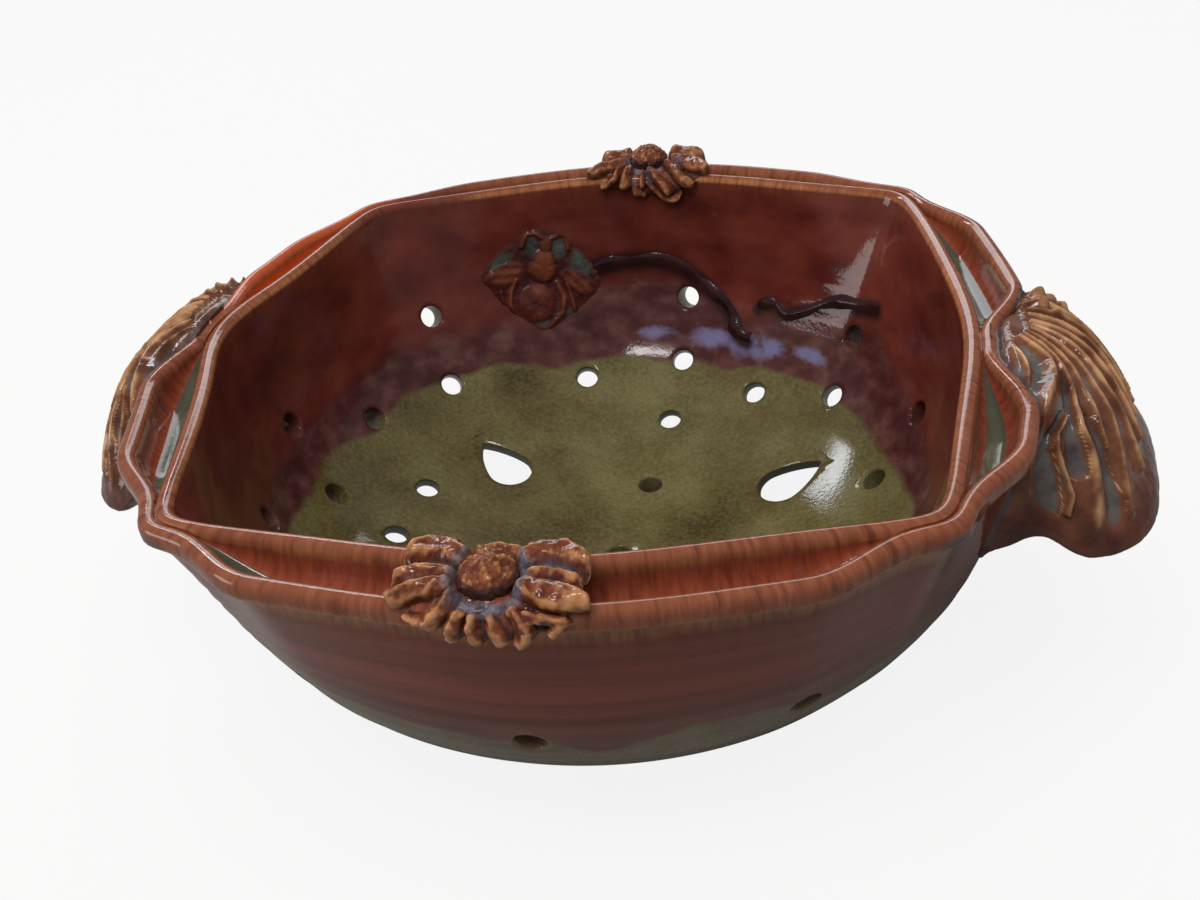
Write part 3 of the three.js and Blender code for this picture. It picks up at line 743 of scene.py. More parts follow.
def beside_trails(angle, height):
    """How near each point of the wall lies to a trailed line, from 0 to 1."""
    near = np.zeros_like(angle)
    for stops, border in zip(TRAILS, TRAIL_BORDERS):
        halves = np.linspace(*border, len(stops))
        line = [(turn * MM_PER_DEGREE, level, half) for (turn, level), half in zip(stops, halves)]
        near = np.maximum(near, np.exp(-(beside_line(angle * MM_PER_DEGREE, height, line) ** 2)))
    return near


print("glaze border at", border_height(INNER_BORDER, 90.0), "mm inside the back wall")

# %% Glaze numbers for the body
# How fast the brown of the lips fades inside and outside, in millimetres
INSIDE_LIP_RUN, OUTSIDE_LIP_RUN = 2.6, 7.0
INSIDE_LIP_SHARE = 0.7
# Degrees from the middle of the left lobe where its painted sunlight starts and is full
PAINTED_SUNLIGHT_SPAN = (26, 12)
# How much of that painted sunlight also lies on the outer lip of the lobe
SUNLIGHT_ON_OUTER_LIP = 0.45
ROLLED_DARK, LOBE_DARK = 0.8, 0.5
TUNNEL_DEPTHS = (1.0, 2.4)
DUSK_SPAN = (1.3, 0.5)
BARE_BELOW = 0.5
AROUND_HEIGHT = 30

bowl_spots = spots(bowl)
bowl_angles = np.degrees(np.arctan2(bowl_spots[:, 1], bowl_spots[:, 0]))
near_place, off_sheet = nearest(bowl, whole_bowl_spots)
bowl_zones = row_zones[whole_bowl_rows[near_place]]
is_outside = (bowl_zones >= OUTSIDE).astype(float)
bowl_heights = bowl_spots[:, 2]
inner_border = border_height(INNER_BORDER, bowl_angles)
above_inner = bowl_heights - inner_border
above_outer = bowl_heights - border_height(OUTER_BORDER, bowl_angles)
dusk_depth = border_height(DUSK_TOPS, bowl_angles) - inner_border
down_from_rim = RIM_HEIGHT - bowl_heights
run_inside = INSIDE_LIP_SHARE * np.exp(-down_from_rim / INSIDE_LIP_RUN)
run_outside = np.exp(-down_from_rim / OUTSIDE_LIP_RUN)
on_lip = np.where(bowl_zones == LIPS, 1, np.where(bowl_zones == INSIDE, run_inside, run_outside))
trough = (bowl_zones == TROUGH) * ease(lobe_share(bowl_angles), 0.02, 0.2)
in_groove = ((bowl_zones == GROOVE) | (bowl_zones == TROUGH)).astype(float)
beyond_groove = np.hypot(*bowl_spots[:, :2].T) > lip_radius(bowl_angles) + lip_gap(bowl_angles) / 2
left_lobe = ease(angle_between(bowl_angles, LEFT_LOBE_ANGLE), *PAINTED_SUNLIGHT_SPAN)
rolled_corner = np.exp(-((angle_between(bowl_angles, ROLLED_ANGLE) / ROLLED_WIDTH) ** 2))
store(
    bowl,
    above_border=np.where(is_outside > 0, above_outer, above_inner),
    outside=is_outside,
    lip=on_lip * (1 - ROLLED_DARK * rolled_corner) * (1 - LOBE_DARK * left_lobe * beyond_groove),
    groove=in_groove,
    # Painted sunlight: orange light in the groove of the left lobe, and partly on its outer lip
    glow=np.maximum(in_groove, SUNLIGHT_ON_OUTER_LIP * (bowl_zones == LIPS) * beyond_groove) * left_lobe,
    pool=trough,
    edge=row_edges[whole_bowl_rows[near_place]] * (1 - rolled_corner),
    # Pale tunnels: painted light through the holes, over thin glaze on pale clay
    tunnel=ease(off_sheet, *TUNNEL_DEPTHS),
    dusk=ease(above_inner / dusk_depth, *DUSK_SPAN),
    trail=beside_trails(bowl_angles, bowl_heights) * (bowl_zones == INSIDE),
    violet=patches(VIOLET_PATCHES, bowl_angles, bowl_heights) * (bowl_zones == INSIDE),
    slate=patches(SLATE_PATCHES, bowl_angles, bowl_heights) * (bowl_zones != INSIDE),
    bare_foot=(bowl_heights < BARE_BELOW).astype(float),
    around=ring_points(np.ones_like(bowl_angles), bowl_angles, bowl_heights / AROUND_HEIGHT),
)
print("glaze numbers for", len(bowl_spots), "points")
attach(bowl, "root")
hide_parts("bowl_body")

# %% [markdown]
# ## Wing handles
# Each handle is a slab of clay, pressed into a fluted mould and bent to a hood with room below for
# the fingers. The flutes could be cut with a modifier one by one. Here their ridges are drawn as
# lines on the hood, because they fan out and swing. The sheet runs down the hood, round its rolled
# hem and back up the inside.

# %% Measures of a handle
HANDLE_REACH = {"right": 130, "left": 132.6}
HANDLE_DROP = {"right": 31.5, "left": 34}
FRONT_SIGN = {"right": 1, "left": -1}
TORN_SHARE = {"right": 1.0, "left": 0.3}
HANDLE_RISE = 1
HANDLE_NECK = 48
HANDLE_SPREAD = 78
HANDLE_THICKNESS = 6
HEM_ROLL = 1.6
SINK = 0.6
HOOD_PROFILE = np.array([[0, 0], [0.54, -0.04], [0.7, 0.2], [1, 1]])
# Lines on the hood, as stops across it in degrees, down it in hundredths, and half as wide:
# first the raised ridges
RIDGES = [
    [(-5, 7, 1.4), (-16, 12, 1.7), (-27, 16.5, 1.8), (-36, 19, 1.6)],
    [(0, 11, 1.6), (-8, 18, 2.2), (-16, 25, 2.9), (-26, 29, 3.8), (-38, 31, 4.2), (-48, 36, 4.2),
     (-58, 47, 3.8), (-65, 63, 3.2)],
    [(2, 13, 1.3), (-6, 21, 1.6), (-17, 30, 2.0), (-27, 37, 2.3), (-36, 45, 2.6), (-41, 54, 3.0),
     (-43, 64, 3.4), (-46, 74, 3.6), (-49, 84, 3.8), (-52, 92, 3.6)],
    [(5, 14, 1.3), (-5, 25, 1.5), (-15, 35, 1.7), (-24, 43, 1.8), (-29, 52, 1.8), (-34, 60, 1.8),
     (-37, 68, 1.6)],
    [(8, 16, 1.3), (-2, 30, 1.5), (-12, 42, 1.7), (-19, 52, 1.7), (-23, 62, 1.7), (-28, 69, 1.8),
     (-35, 80, 1.8), (-40, 92, 1.8)],
    [(11, 17, 1.3), (4, 34, 1.5), (-5, 48, 1.7), (-11, 59, 1.7), (-14, 68, 1.8), (-18, 76, 1.8),
     (-23, 88, 1.6)],
    [(15, 17, 1.4), (10, 36, 1.6), (4, 54, 1.8), (0, 65, 1.8), (-3, 75, 1.9), (-8, 87, 1.6)],
    [(21, 17, 1.5), (18, 36, 1.8), (13, 56, 1.9), (8, 69, 2.0), (2, 84, 1.8)],
    [(27, 18, 1.6), (26, 37, 1.9), (22, 56, 2.0), (17, 70, 2.1), (12, 85, 1.8)],
    [(34, 17, 1.8), (34, 36, 2.0), (31, 56, 2.1), (26, 70, 2.2), (22, 86, 1.8)],
    [(42, 17, 1.9), (43, 36, 2.1), (40, 58, 2.2), (36, 72, 2.3), (32, 87, 2.0)],
    [(51, 17, 2.0), (52, 36, 2.2), (50, 60, 2.4), (47, 74, 2.4), (44, 88, 2.0)],
    [(60, 18, 2.0), (62, 40, 2.4), (61, 62, 2.5), (59, 84, 2.2)],
    [(-41, 44, 1.4), (-52, 52, 1.7), (-55, 59, 1.8), (-56, 68, 1.7), (-56, 80, 1.6), (-59, 88, 1.6)],
]
RIDGE_HEIGHT = 1.7
# Then the broad valleys between them, which end in drops of glaze
VALLEYS = [
    [(-22, 32, 1.4), (-32, 38, 1.9), (-40, 45, 2.3), (-46, 55, 3.2), (-49, 64, 4.3), (-51, 71, 4.3)],
    [(-42, 43, 1.4), (-54, 50, 2.2), (-60, 59, 3.2), (-62, 72, 4.4), (-64, 83, 5.0), (-65, 88, 4.4)],
    [(-34, 53, 1.2), (-37, 62, 1.6), (-40, 72, 2.4), (-42, 80, 3.2), (-43, 87, 3.8), (-45, 91, 3.4)],
]
VALLEY_DEPTH = 0.8
# Lumps of torn clay at the back of the neck: a place across and down the hood, a size and a height
LUMPS = [
    (44, 0.16, 4.0, 1.8), (38, 0.22, 3.2, 1.3), (33, 0.27, 3.4, 1.7), (42, 0.30, 4.2, 2.2),
    (38, 0.38, 3.0, 1.4), (46, 0.40, 4.0, 2.1), (52, 0.24, 4.6, 2.0), (58, 0.34, 4.5, 1.8),
    (27, 0.33, 2.4, 0.9), (40, 0.47, 3.0, 1.3),
]
print(len(RIDGES), "ridges and", len(VALLEYS), "valleys on each handle")

# %% Form of a handle
SPREAD_POWER = 0.6
# How square the hood is at its neck and at its hem
NECK_POWER, HEM_POWER = 2, 3.5
SCALLOP_DEPTH, SCALLOP_LENGTH = 1.5, 100
NOTCH_DEPTH, NOTCH_PLACE, NOTCH_WIDTH = 6, 68, 8
# Where the flutes fade in or out: at the neck, above the hem, at the front and at the back
NECK_FADE, HEM_FADE = (0.05, 0.14), (0.98, 0.88)
FRONT_FADE, BACK_FADE = (-80, -70), (82, 68)
RIDGE_SHARPNESS, RIDGE_POWER = 1.15, 1.5
RIDGE_LEVEL = 0.85
SOFT_POWER = 2.6
HOOD_LENGTH = 85
BRIM_PLACE, BRIM_SHARE = 0.12, 0.8
JUST_BELOW = 0.01
VALLEY_FLATTENS, CREST_POWER, LUMP_FULL = 0.8, 1.4, 1.6
# How much glaze pools between the ridges at the front and at the back
FRONT_POOL, BACK_POOL = 0.85, 0.55
POOL_SHARPNESS = 2.2


def rounded_reach(turn, power):
    """How far a rounded outline reaches in a direction: power 1 is a lozenge, and 2 is round."""
    return (np.abs(np.cos(turn)) ** power + np.abs(np.sin(turn)) ** power) ** (-1 / power)


def hood(side, across, down, inset):
    """A place on the hood before it is turned: across in degrees, and down from neck to hem."""
    out, fall = curve(HOOD_PROFILE, down)
    lip = lip_radius(np.array([float(HANDLE_ANGLES[side])]))[0]
    root = lip - HALF_LIP
    reach = mix(lip + LIP_PINCH, HANDLE_REACH[side] - inset, out)
    width = mix(HANDLE_NECK, HANDLE_SPREAD, down ** SPREAD_POWER) / 2 - inset
    swing = np.radians(across)
    squared = rounded_reach(swing, mix(NECK_POWER, HEM_POWER, down))
    scallop = SCALLOP_DEPTH * np.cos(across / SCALLOP_LENGTH * 2 * np.pi)
    notch = NOTCH_DEPTH * np.exp(-(((np.abs(across) - NOTCH_PLACE) / NOTCH_WIDTH) ** 2))
    drop = HANDLE_DROP[side] - scallop - notch - inset
    height = RIM_HEIGHT + HANDLE_RISE - inset - drop * fall
    outward = root + (reach - root) * squared * np.cos(swing)
    return np.stack([outward, width * squared * np.sin(swing), height], axis=-1)


def fluting(front, down, torn):
    """The hollows and the crests of the flutes, each from 0 to 1, and how far they move the clay."""
    low = down * 100
    fluted = ease(down, *NECK_FADE) * ease(down, *HEM_FADE)
    fluted = fluted * ease(front, *FRONT_FADE) * ease(front, *BACK_FADE)
    ridge = np.zeros_like(front)
    valley = np.zeros_like(front)
    for stops in RIDGES:
        away = RIDGE_SHARPNESS * beside_line(front, low, stops)
        ridge = np.maximum(ridge, np.exp(-(away ** RIDGE_POWER)))
    for stops in VALLEYS:
        valley = np.maximum(valley, np.clip(1 - beside_line(front, low, stops) ** SOFT_POWER, 0, 1))
    ridge *= 1 - VALLEY_FLATTENS * valley
    lumps = np.zeros_like(front)
    for place, level, size, height in LUMPS:
        away = np.hypot((front - place) / size, (down - level) * HOOD_LENGTH / size)
        lumps = np.maximum(lumps, torn * height * np.exp(-(away ** SOFT_POWER)))
    move = fluted * (RIDGE_HEIGHT * (ridge - RIDGE_LEVEL) - VALLEY_DEPTH * valley) + lumps
    pooling = mix(FRONT_POOL, BACK_POOL, ease(front, -20, 10))
    between = fluted * np.clip(1 - POOL_SHARPNESS * ridge, 0, 1) * pooling
    # At the front these pools stay near the neck
    between *= mix(ease(down, 0.6, 0.42), 1, ease(front, -30, -15))
    brim = np.exp(-(((valley - BRIM_PLACE) / BRIM_PLACE) ** 2)) * ease(down, 0.4, 0.55) * (valley > 0)
    # Crests at the back are lighter: thin amber glaze, with a painted highlight on the fine back ridges
    crest = fluted * ridge ** CREST_POWER * mix(0.7, 1, ease(front, -30, 0))
    crest = np.maximum(crest, np.clip(lumps / LUMP_FULL, 0, 1))
    crest = np.maximum(crest, BRIM_SHARE * fluted * brim)
    return np.maximum(valley * fluted, between), crest, move


def outside_radius(angle, height):
    """How far the outside of the bowl lies from its axis at a height."""
    below_rim = np.minimum(height, RIM_HEIGHT - JUST_BELOW)
    share = share_where(lambda a, step: outer_wall(a, step)[1], below_rim, angle)
    above = np.clip(height - RIM_HEIGHT + HALF_LIP, 0, HALF_LIP)
    lip = lip_radius(angle) + lip_gap(angle) + np.sqrt(HALF_LIP ** 2 - above ** 2)
    return np.where(height > RIM_HEIGHT - BEAD_HEIGHT, lip, outer_wall(angle, share)[0])


print("handles reach", max(HANDLE_REACH.values()), "mm from the axis at most")

# %% Press the handles
DOWN_ROWS, HEM_ROWS, BACK_ROWS, HANDLE_COLUMNS = 190, 10, 24, 400
HANDLE_ROWS = DOWN_ROWS + HEM_ROWS + BACK_ROWS + 1
DOWN_STEP, SWING_STEP = 0.004, 0.4
HANG_FROM = 0.95
CREASE_REACH, CREASE_DROP = 1.5, 2.6
UNDER_RIM = 1.5


def press_handle(side):
    marks = {}

    def place(across, along):
        row = np.rint(along * HANDLE_ROWS)
        swing = mix(-90, 90, across)
        down = np.clip(row / DOWN_ROWS, 0, 1)
        face = hood(side, swing, down, 0)
        beside = hood(side, swing + SWING_STEP, down, 0) - hood(side, swing - SWING_STEP, down, 0)
        below = face - hood(side, swing, np.maximum(down - DOWN_STEP, 0), 0)
        below = np.where(down[:, None] < DOWN_STEP, hood(side, swing, down + DOWN_STEP, 0) - face, below)
        normal = np.cross(below, beside)
        normal /= np.maximum(np.linalg.norm(normal, axis=1), 1e-9)[:, None]
        hollow, edge, move = fluting(swing * FRONT_SIGN[side], down, TORN_SHARE[side])
        on_face = row <= DOWN_ROWS
        points = face + normal * np.where(on_face, move, 0)[:, None]

        # The rolled hem, and the inside back up to the neck
        roll = np.pi * np.clip((row - DOWN_ROWS) / HEM_ROWS, 0, 1)
        hem_out = hood(side, swing, np.ones_like(down), 0)
        hem_in = hood(side, swing, np.ones_like(down), HANDLE_THICKNESS)
        hang = hem_out - hood(side, swing, np.full_like(down, HANG_FROM), 0)
        hang /= np.linalg.norm(hang, axis=1)[:, None]
        rolled = (hem_out + hem_in) / 2 + (hem_out - hem_in) / 2 * np.cos(roll)[:, None]
        rolled += hang * (HEM_ROLL * np.sin(roll))[:, None]
        on_hem = (row > DOWN_ROWS) & (row <= DOWN_ROWS + HEM_ROWS)
        points = np.where(on_hem[:, None], rolled, points)
        back = np.clip((HANDLE_ROWS - 1 - row) / BACK_ROWS, 0, 1)
        on_back = (row > DOWN_ROWS + HEM_ROWS) & (row < HANDLE_ROWS)
        points = np.where(on_back[:, None], hood(side, swing, back, HANDLE_THICKNESS), points)
        neck = hood(side, swing, np.zeros_like(down), 0)
        points = np.where((row == HANDLE_ROWS)[:, None], neck, points)

        # Clay that meets the bowl is pressed down into a crease and stays outside the wall
        angle = np.degrees(np.arctan2(points[:, 1], points[:, 0])) + HANDLE_ANGLES[side]
        radius = np.hypot(points[:, 0], points[:, 1])
        height = points[:, 2]
        from_wall = radius - outside_radius(angle, np.minimum(height, RIM_HEIGHT - HALF_LIP))
        crease = np.exp(-np.maximum(from_wall, 0) / CREASE_REACH) * on_face
        height = height - CREASE_DROP * crease
        middle = lip_radius(angle) + lip_gap(angle)
        height = np.where(radius < middle, np.minimum(height, RIM_HEIGHT - UNDER_RIM), height)
        radius = np.maximum(radius, outside_radius(angle, height) - SINK)
        marks["pool"] = np.maximum(np.where(on_face, hollow, 0), crease)
        hem_ridge = np.where(on_hem, np.sin(roll) ** 2, 0)
        marks["ridge"] = np.where(on_face, edge * (1 - crease), hem_ridge)
        marks["down"] = np.where(on_face, down, np.where(on_hem, 1, back))
        return ring_points(radius, angle, height)

    piece = clay_sheet(f"{side}_handle_pressed", HANDLE_COLUMNS, HANDLE_ROWS, place)
    store(piece, **marks)
    weld(piece)
    bpy.ops.object.mode_set(mode="EDIT")
    bpy.ops.mesh.select_all(action="SELECT")
    bpy.ops.mesh.fill_holes(sides=0)
    bpy.ops.mesh.normals_make_consistent(inside=False)
    bpy.ops.object.mode_set(mode="OBJECT")
    crumple(piece, size=3.0, depth=0.12)
    smooth(piece, angle=75)
    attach(piece, "root")
    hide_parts(f"{side}_handle")
    print(piece.name, len(piece.data.polygons), "faces")
    return piece


handles = [press_handle(side) for side in ("right", "left")]

# %% [markdown]
# ## Flowers over the rim
# A rosette of petals was pressed over both lips at the front and at the back. Petals could be
# modelled singly and joined, but fired clay has run together, so each rosette is one round sheet. Its
# petals and their folds are drawn on it as lines, with hollows between them, and uneven noise makes
# the clay look pressed by hand. The front flower hangs outside the bowl and the back flower inside
# it.

# %% Petals of the flowers
FLOWER_ANGLES = {"front": 267, "back": 88.5}
FLOWER_SHIFT = 1.5
PETAL_THICKNESS = 3
SHOULDER_RADIUS = 7
CENTRE_RADIUS = 5.6
CENTRE_RISE = 3.6
CLEARANCE = 0.3
# Each flower is drawn flat, as the camera sees it: to the right along the rim, and towards the eye
# across it. An outline gives how far the petals reach at an angle that starts towards the eye and
# turns to the right.
FRONT_OUTLINE = np.array([
    (-2, 16.2), (16, 16.6), (25, 17.6), (34, 17.2), (41, 18.4), (49, 18.0), (54, 19.4), (62, 20.0),
    (69, 19.0), (85, 16.2), (104, 18.5), (122, 16.8), (142, 13.6), (155, 11.6), (180, 11.8),
    (205, 11.6), (217, 13.8), (233, 18.0), (247, 18.4), (261, 17.4), (281, 16.3), (295, 17.5),
    (308, 16.6), (317, 15.8), (328, 15.2), (337, 16.7), (345, 16.2),
])
BACK_OUTLINE = np.array([
    (-3, 16.9), (10, 17.0), (18, 19.2), (26, 20.2), (34, 20.2), (39, 19.0), (44, 18.6), (50, 20.4),
    (57, 19.6), (65, 20.4), (73, 20.6), (84, 18.0), (104, 17.6), (122, 17.0), (142, 13.6),
    (155, 11.6), (180, 11.8), (205, 11.6), (217, 13.8), (233, 17.0), (247, 17.6), (261, 17.0),
    (280, 18.0), (292, 20.2), (300, 18.6), (306, 17.6), (311, 19.2), (318, 18.6), (326, 17.0),
    (335, 16.2), (345, 17.0),
])
# The petals: how high each stands, and its stops in millimetres: right, towards the eye, half as wide
FRONT_PETALS = [
    (3.0, [(-5.5, -4.4, 2.4), (-10, -6.6, 3.2), (-14, -6.8, 3.2), (-16.4, -5.2, 2.4)]),
    (2.3, [(-6.5, 0, 1.5), (-10, -0.2, 1.9), (-13.2, 0.6, 2.0), (-16.2, 2.2, 1.8)]),
    (2.7, [(-6, 3.2, 1.6), (-9, 4.0, 2.0), (-12.5, 5.8, 2.5), (-15.6, 7.8, 2.4)]),
    (2.4, [(-5, 6, 1.5), (-6.4, 9, 2.1), (-8.4, 12, 2.2), (-11.5, 12, 1.8)]),
    (1.5, [(-3.6, 10, 1.3), (-4.6, 12.6, 1.6), (-4.8, 15.6, 1.6)]),
    (1.3, [(-1, 10.4, 1.2), (-1.4, 13, 1.4), (-0.8, 15.8, 1.5)]),
    (1.3, [(2, 10.4, 1.2), (2.4, 13, 1.4), (3.2, 15.8, 1.5)]),
    (1.8, [(5.4, 8.8, 1.4), (7.2, 11, 1.8), (7.6, 13.6, 1.8), (6.8, 16, 1.6)]),
    (1.7, [(7.6, 9.4, 1.2), (10.4, 10.4, 1.5), (13.4, 11.2, 1.6), (12, 13.6, 1.3)]),
    (3.3, [(7, 3.4, 2.2), (10.5, 4.8, 3.1), (13.8, 6.2, 3.2), (16.8, 7.2, 2.2)]),
    (2.0, [(6.8, -0.8, 1.3), (10, -1.4, 1.7), (13, -0.6, 1.7), (15.4, 0.6, 1.4)]),
    (2.9, [(5.8, -5, 2.2), (9, -7.2, 2.8), (12.6, -7.2, 3.0), (16.6, -4.6, 2.4)]),
    (1.4, [(-4, -8.2, 1.6), (0, -9.6, 1.9), (4.5, -8.2, 1.6)]),
]
BACK_PETALS = [
    (4.8, [(7.5, -5, 2.6), (10, -6, 3.8), (12.5, -5.6, 3.8)]),
    (4.0, [(-6.5, -4.6, 2.4), (-9, -5.4, 3.2), (-11.5, -5, 3.0)]),
    (2.8, [(6.5, 0.5, 1.8), (11, 2, 3.0), (15.5, 4.4, 3.2), (19, 6.2, 2.2)]),
    (3.0, [(6.2, 4, 1.4), (9.5, 7.6, 2.0), (12, 10.8, 2.2), (16, 12.8, 2.0)]),
    (2.6, [(1.2, 7, 1.3), (3.2, 10, 1.8), (5.6, 12.6, 2.0), (7.4, 15, 1.8)]),
    (1.8, [(0.6, 11.8, 0.9), (3, 14.4, 1.1), (6.4, 17.2, 1.4), (10.4, 17.4, 1.5), (12.4, 15.8, 1.2)]),
    (1.6, [(-1.2, 7.8, 0.9), (-1.3, 10.2, 1.1), (-1.2, 13, 1.1)]),
    (2.4, [(-5.4, 6.4, 1.4), (-6.4, 9.4, 1.9), (-7.2, 12.8, 1.9)]),
    (2.6, [(-5.8, 2.4, 1.6), (-10.5, 3.6, 2.4), (-15, 5.8, 2.4), (-18.4, 7.8, 1.8)]),
    (2.2, [(-8.6, 7, 1.3), (-10.2, 10.4, 1.5), (-12.6, 12, 1.6), (-14.6, 12.6, 1.4)]),
    (1.4, [(-4, -8.2, 1.6), (0, -9.6, 1.9), (4.5, -8.2, 1.6)]),
    (1.2, [(-3, 12.6, 1.2), (-3.4, 15.2, 1.6), (-1, 16, 1.2)]),
]
# Fine folds on the petals, as stops and half as wide
FRONT_FOLDS = [
    [(-5.5, -5, 0.8), (-10, -8.5, 1.2), (-14, -9.5, 1.2), (-16.5, -6.5, 0.9)],
    [(-6, -2.5, 0.7), (-10, -4.5, 0.8), (-14.5, -4.6, 0.8), (-16.5, -3.2, 0.7)],
    [(-6.5, 0, 0.7), (-10, -0.4, 0.8), (-13.2, 0.3, 0.8), (-16, 1.5, 0.8), (-15.6, 3.2, 0.6)],
    [(-6, 2.8, 0.7), (-8.8, 3, 0.8), (-11.2, 4.2, 0.9), (-13.5, 6, 0.9), (-15.5, 7.8, 0.9)],
    [(-15.5, 7.8, 0.9), (-13.8, 9.5, 0.8), (-11.8, 11.2, 0.8), (-10, 12.2, 0.7)],
    [(-5, 5.5, 0.7), (-5.8, 7.8, 0.8), (-7, 10, 0.9), (-8.2, 12.2, 0.8)],
    [(-8.2, 4.2, 0.5), (-9, 6.2, 0.6), (-9.8, 8, 0.5)],
    [(-3.5, 9, 0.6), (-4.5, 11.2, 0.8), (-5, 14.2, 0.8), (-4.5, 15.6, 0.7)],
    [(-1, 9.4, 0.5), (-1.5, 12.5, 0.7), (-0.8, 15.5, 0.8)],
    [(2, 9.4, 0.5), (2.2, 12.8, 0.7), (3.2, 15.6, 0.8)],
    [(5.6, 8.4, 0.6), (7.2, 10.5, 0.8), (8.2, 13, 0.8), (6.8, 16, 0.8)],
    [(6, 7.6, 0.6), (8, 9, 0.7), (10.2, 9.8, 0.8), (12.2, 10.4, 0.8), (14.5, 10.6, 0.6)],
    [(8, 10.8, 0.5), (9.8, 11.4, 0.6), (11.5, 12.6, 0.7), (11.8, 13.6, 0.6)],
    [(7.2, 2, 0.7), (10.5, 2, 0.9), (13.8, 3.4, 1.0), (16.5, 5.2, 0.9), (17.8, 6.8, 0.8)],
    [(17.8, 6.8, 0.8), (17.6, 8.2, 0.7), (16.4, 9.6, 0.6)],
    [(7.2, 5.2, 0.7), (9.8, 7.4, 0.8), (12, 8.6, 0.9), (14.5, 8.8, 0.8)],
    [(6.5, -0.5, 0.6), (10, -1.2, 0.8), (13, -0.2, 0.8), (15.5, 1, 0.6)],
    [(7, -3, 0.6), (10.5, -4.8, 0.8), (13.2, -3.8, 0.8), (15.5, -1.7, 0.8), (17, -2, 0.6)],
    [(5.5, -5.5, 0.8), (8, -8.6, 1.1), (12, -9.3, 1.1), (15, -7.5, 1.0), (17.6, -4.5, 0.8)],
    [(-4, -8, 0.7), (0, -9.4, 0.8), (4.5, -8, 0.7)],
]
BACK_FOLDS = [
    [(8, 1, 0.8), (13, 1.4, 0.9), (17, 4, 0.9), (19.6, 6.6, 0.8)],
    [(9.6, 2.4, 0.7), (9.8, 7.5, 0.8), (11.4, 10.4, 0.8), (14.4, 12.2, 0.8), (16.6, 13, 0.7)],
    [(1.4, 7.4, 0.6), (3.6, 10.4, 0.8), (6, 13, 0.8), (7.6, 15.4, 0.7)],
    [(0.6, 11.8, 0.6), (3, 14.4, 0.7), (6.4, 17.4, 0.8), (10.6, 17.6, 0.8), (12.6, 16, 0.7)],
    [(-1.2, 8, 0.6), (-1.3, 13, 0.6)],
    [(-6, 7, 0.7), (-7.4, 9.6, 0.8), (-8, 12.8, 0.8)],
    [(-8.8, 7, 0.7), (-10.4, 10.2, 0.8), (-14.6, 12.8, 0.8)],
    [(-6, 2.8, 0.7), (-10.6, 4.4, 0.8), (-15, 5.2, 0.8), (-18.8, 8.4, 0.7)],
    [(-11, 6.4, 0.6), (-14.6, 7.4, 0.7), (-17, 9, 0.6)],
    [(7, -4.4, 0.8), (10, -8, 1.1), (14, -6.4, 0.9)],
    [(-6, -4.4, 0.8), (-9.5, -7.2, 1.1), (-13, -5.4, 0.9)],
]
FOLD_HEIGHT = 0.6
# Swells and hollows of the petals: a place, a size and a rise
FRONT_SWELLS = [
    (-10, 8, 1.9, -1.5), (16, 9.8, 1.5, -1.2), (10.6, 11.9, 1.1, -0.9), (0.5, 8.2, 2.6, -0.5),
]
BACK_SWELLS = [(10.4, 4.6, 1.8, -1.6), (-14, 10, 1.6, -1.2), (-3.6, 9.5, 1.4, -1.0)]
VALLEY = -2.0
# Lines where slate blue glaze pooled round the middle and between petals
FRONT_SLATE = [
    [(-4.5, -6.5, 0.9), (-6.6, -3, 1.1), (-6.8, 0, 1.1), (-6, 4, 1.2), (-3.4, 7.4, 1.8),
     (0.6, 8.4, 2.3), (4.6, 7.2, 1.9), (6.7, 3, 1.2), (6.6, -2, 1.1), (5, -5.6, 0.9)],
    [(-7, -2, 0.9), (-11, -2.6, 1.2), (-15, -1.6, 1.0)],
    [(-7.5, 1.9, 0.7), (-11, 2.6, 1.0), (-13.5, 3.4, 1.0)],
    [(7.5, -3, 0.8), (11, -3.7, 1.2), (15, -1.8, 1.0)],
    [(7.5, 1, 0.8), (11.5, 1.4, 1.1), (14.5, 2.8, 0.9)],
]
BACK_SLATE = [
    [(-4.5, -5, 0.9), (-6.4, 0, 1.1), (-5, 5, 1.4), (-2, 7, 1.6), (2, 6.6, 1.4), (5.8, 3, 1.2),
     (6.4, -2, 1.1)],
    [(9.6, 2.6, 1.2), (10, 6, 1.3)],
    [(-4, 8.5, 0.9), (-4.2, 12.5, 1.0)],
    [(0.8, 9, 0.7), (1.4, 12, 0.7)],
]
FLOWERS = {
    "front": (FRONT_OUTLINE, FRONT_PETALS, FRONT_FOLDS, FRONT_SWELLS, FRONT_SLATE),
    "back": (BACK_OUTLINE, BACK_PETALS, BACK_FOLDS, BACK_SWELLS, BACK_SLATE),
}
# The front flower hangs down outside and the back flower inside, so that both face the eye
FACING = {"front": 1, "back": -1}
# How much of the thin amber shows on the ridges of each: halved on the back flower as painted shade
LIT_AMBER_SHARE = {"front": 1.0, "back": 0.5}
print(len(FRONT_PETALS), "petals on the front flower and", len(BACK_PETALS), "on the back flower")

# %% Form of a flower
PETAL_POWER, PETAL_FULLNESS = 2.2, 0.6
LEAST_FOLD = 0.3
# Petals start beside the seeded dome, and the clay between them drops at its edge
PETAL_START = (4.5, 7.5)
EDGE_DROP, EDGE_START = 0.9, 0.93


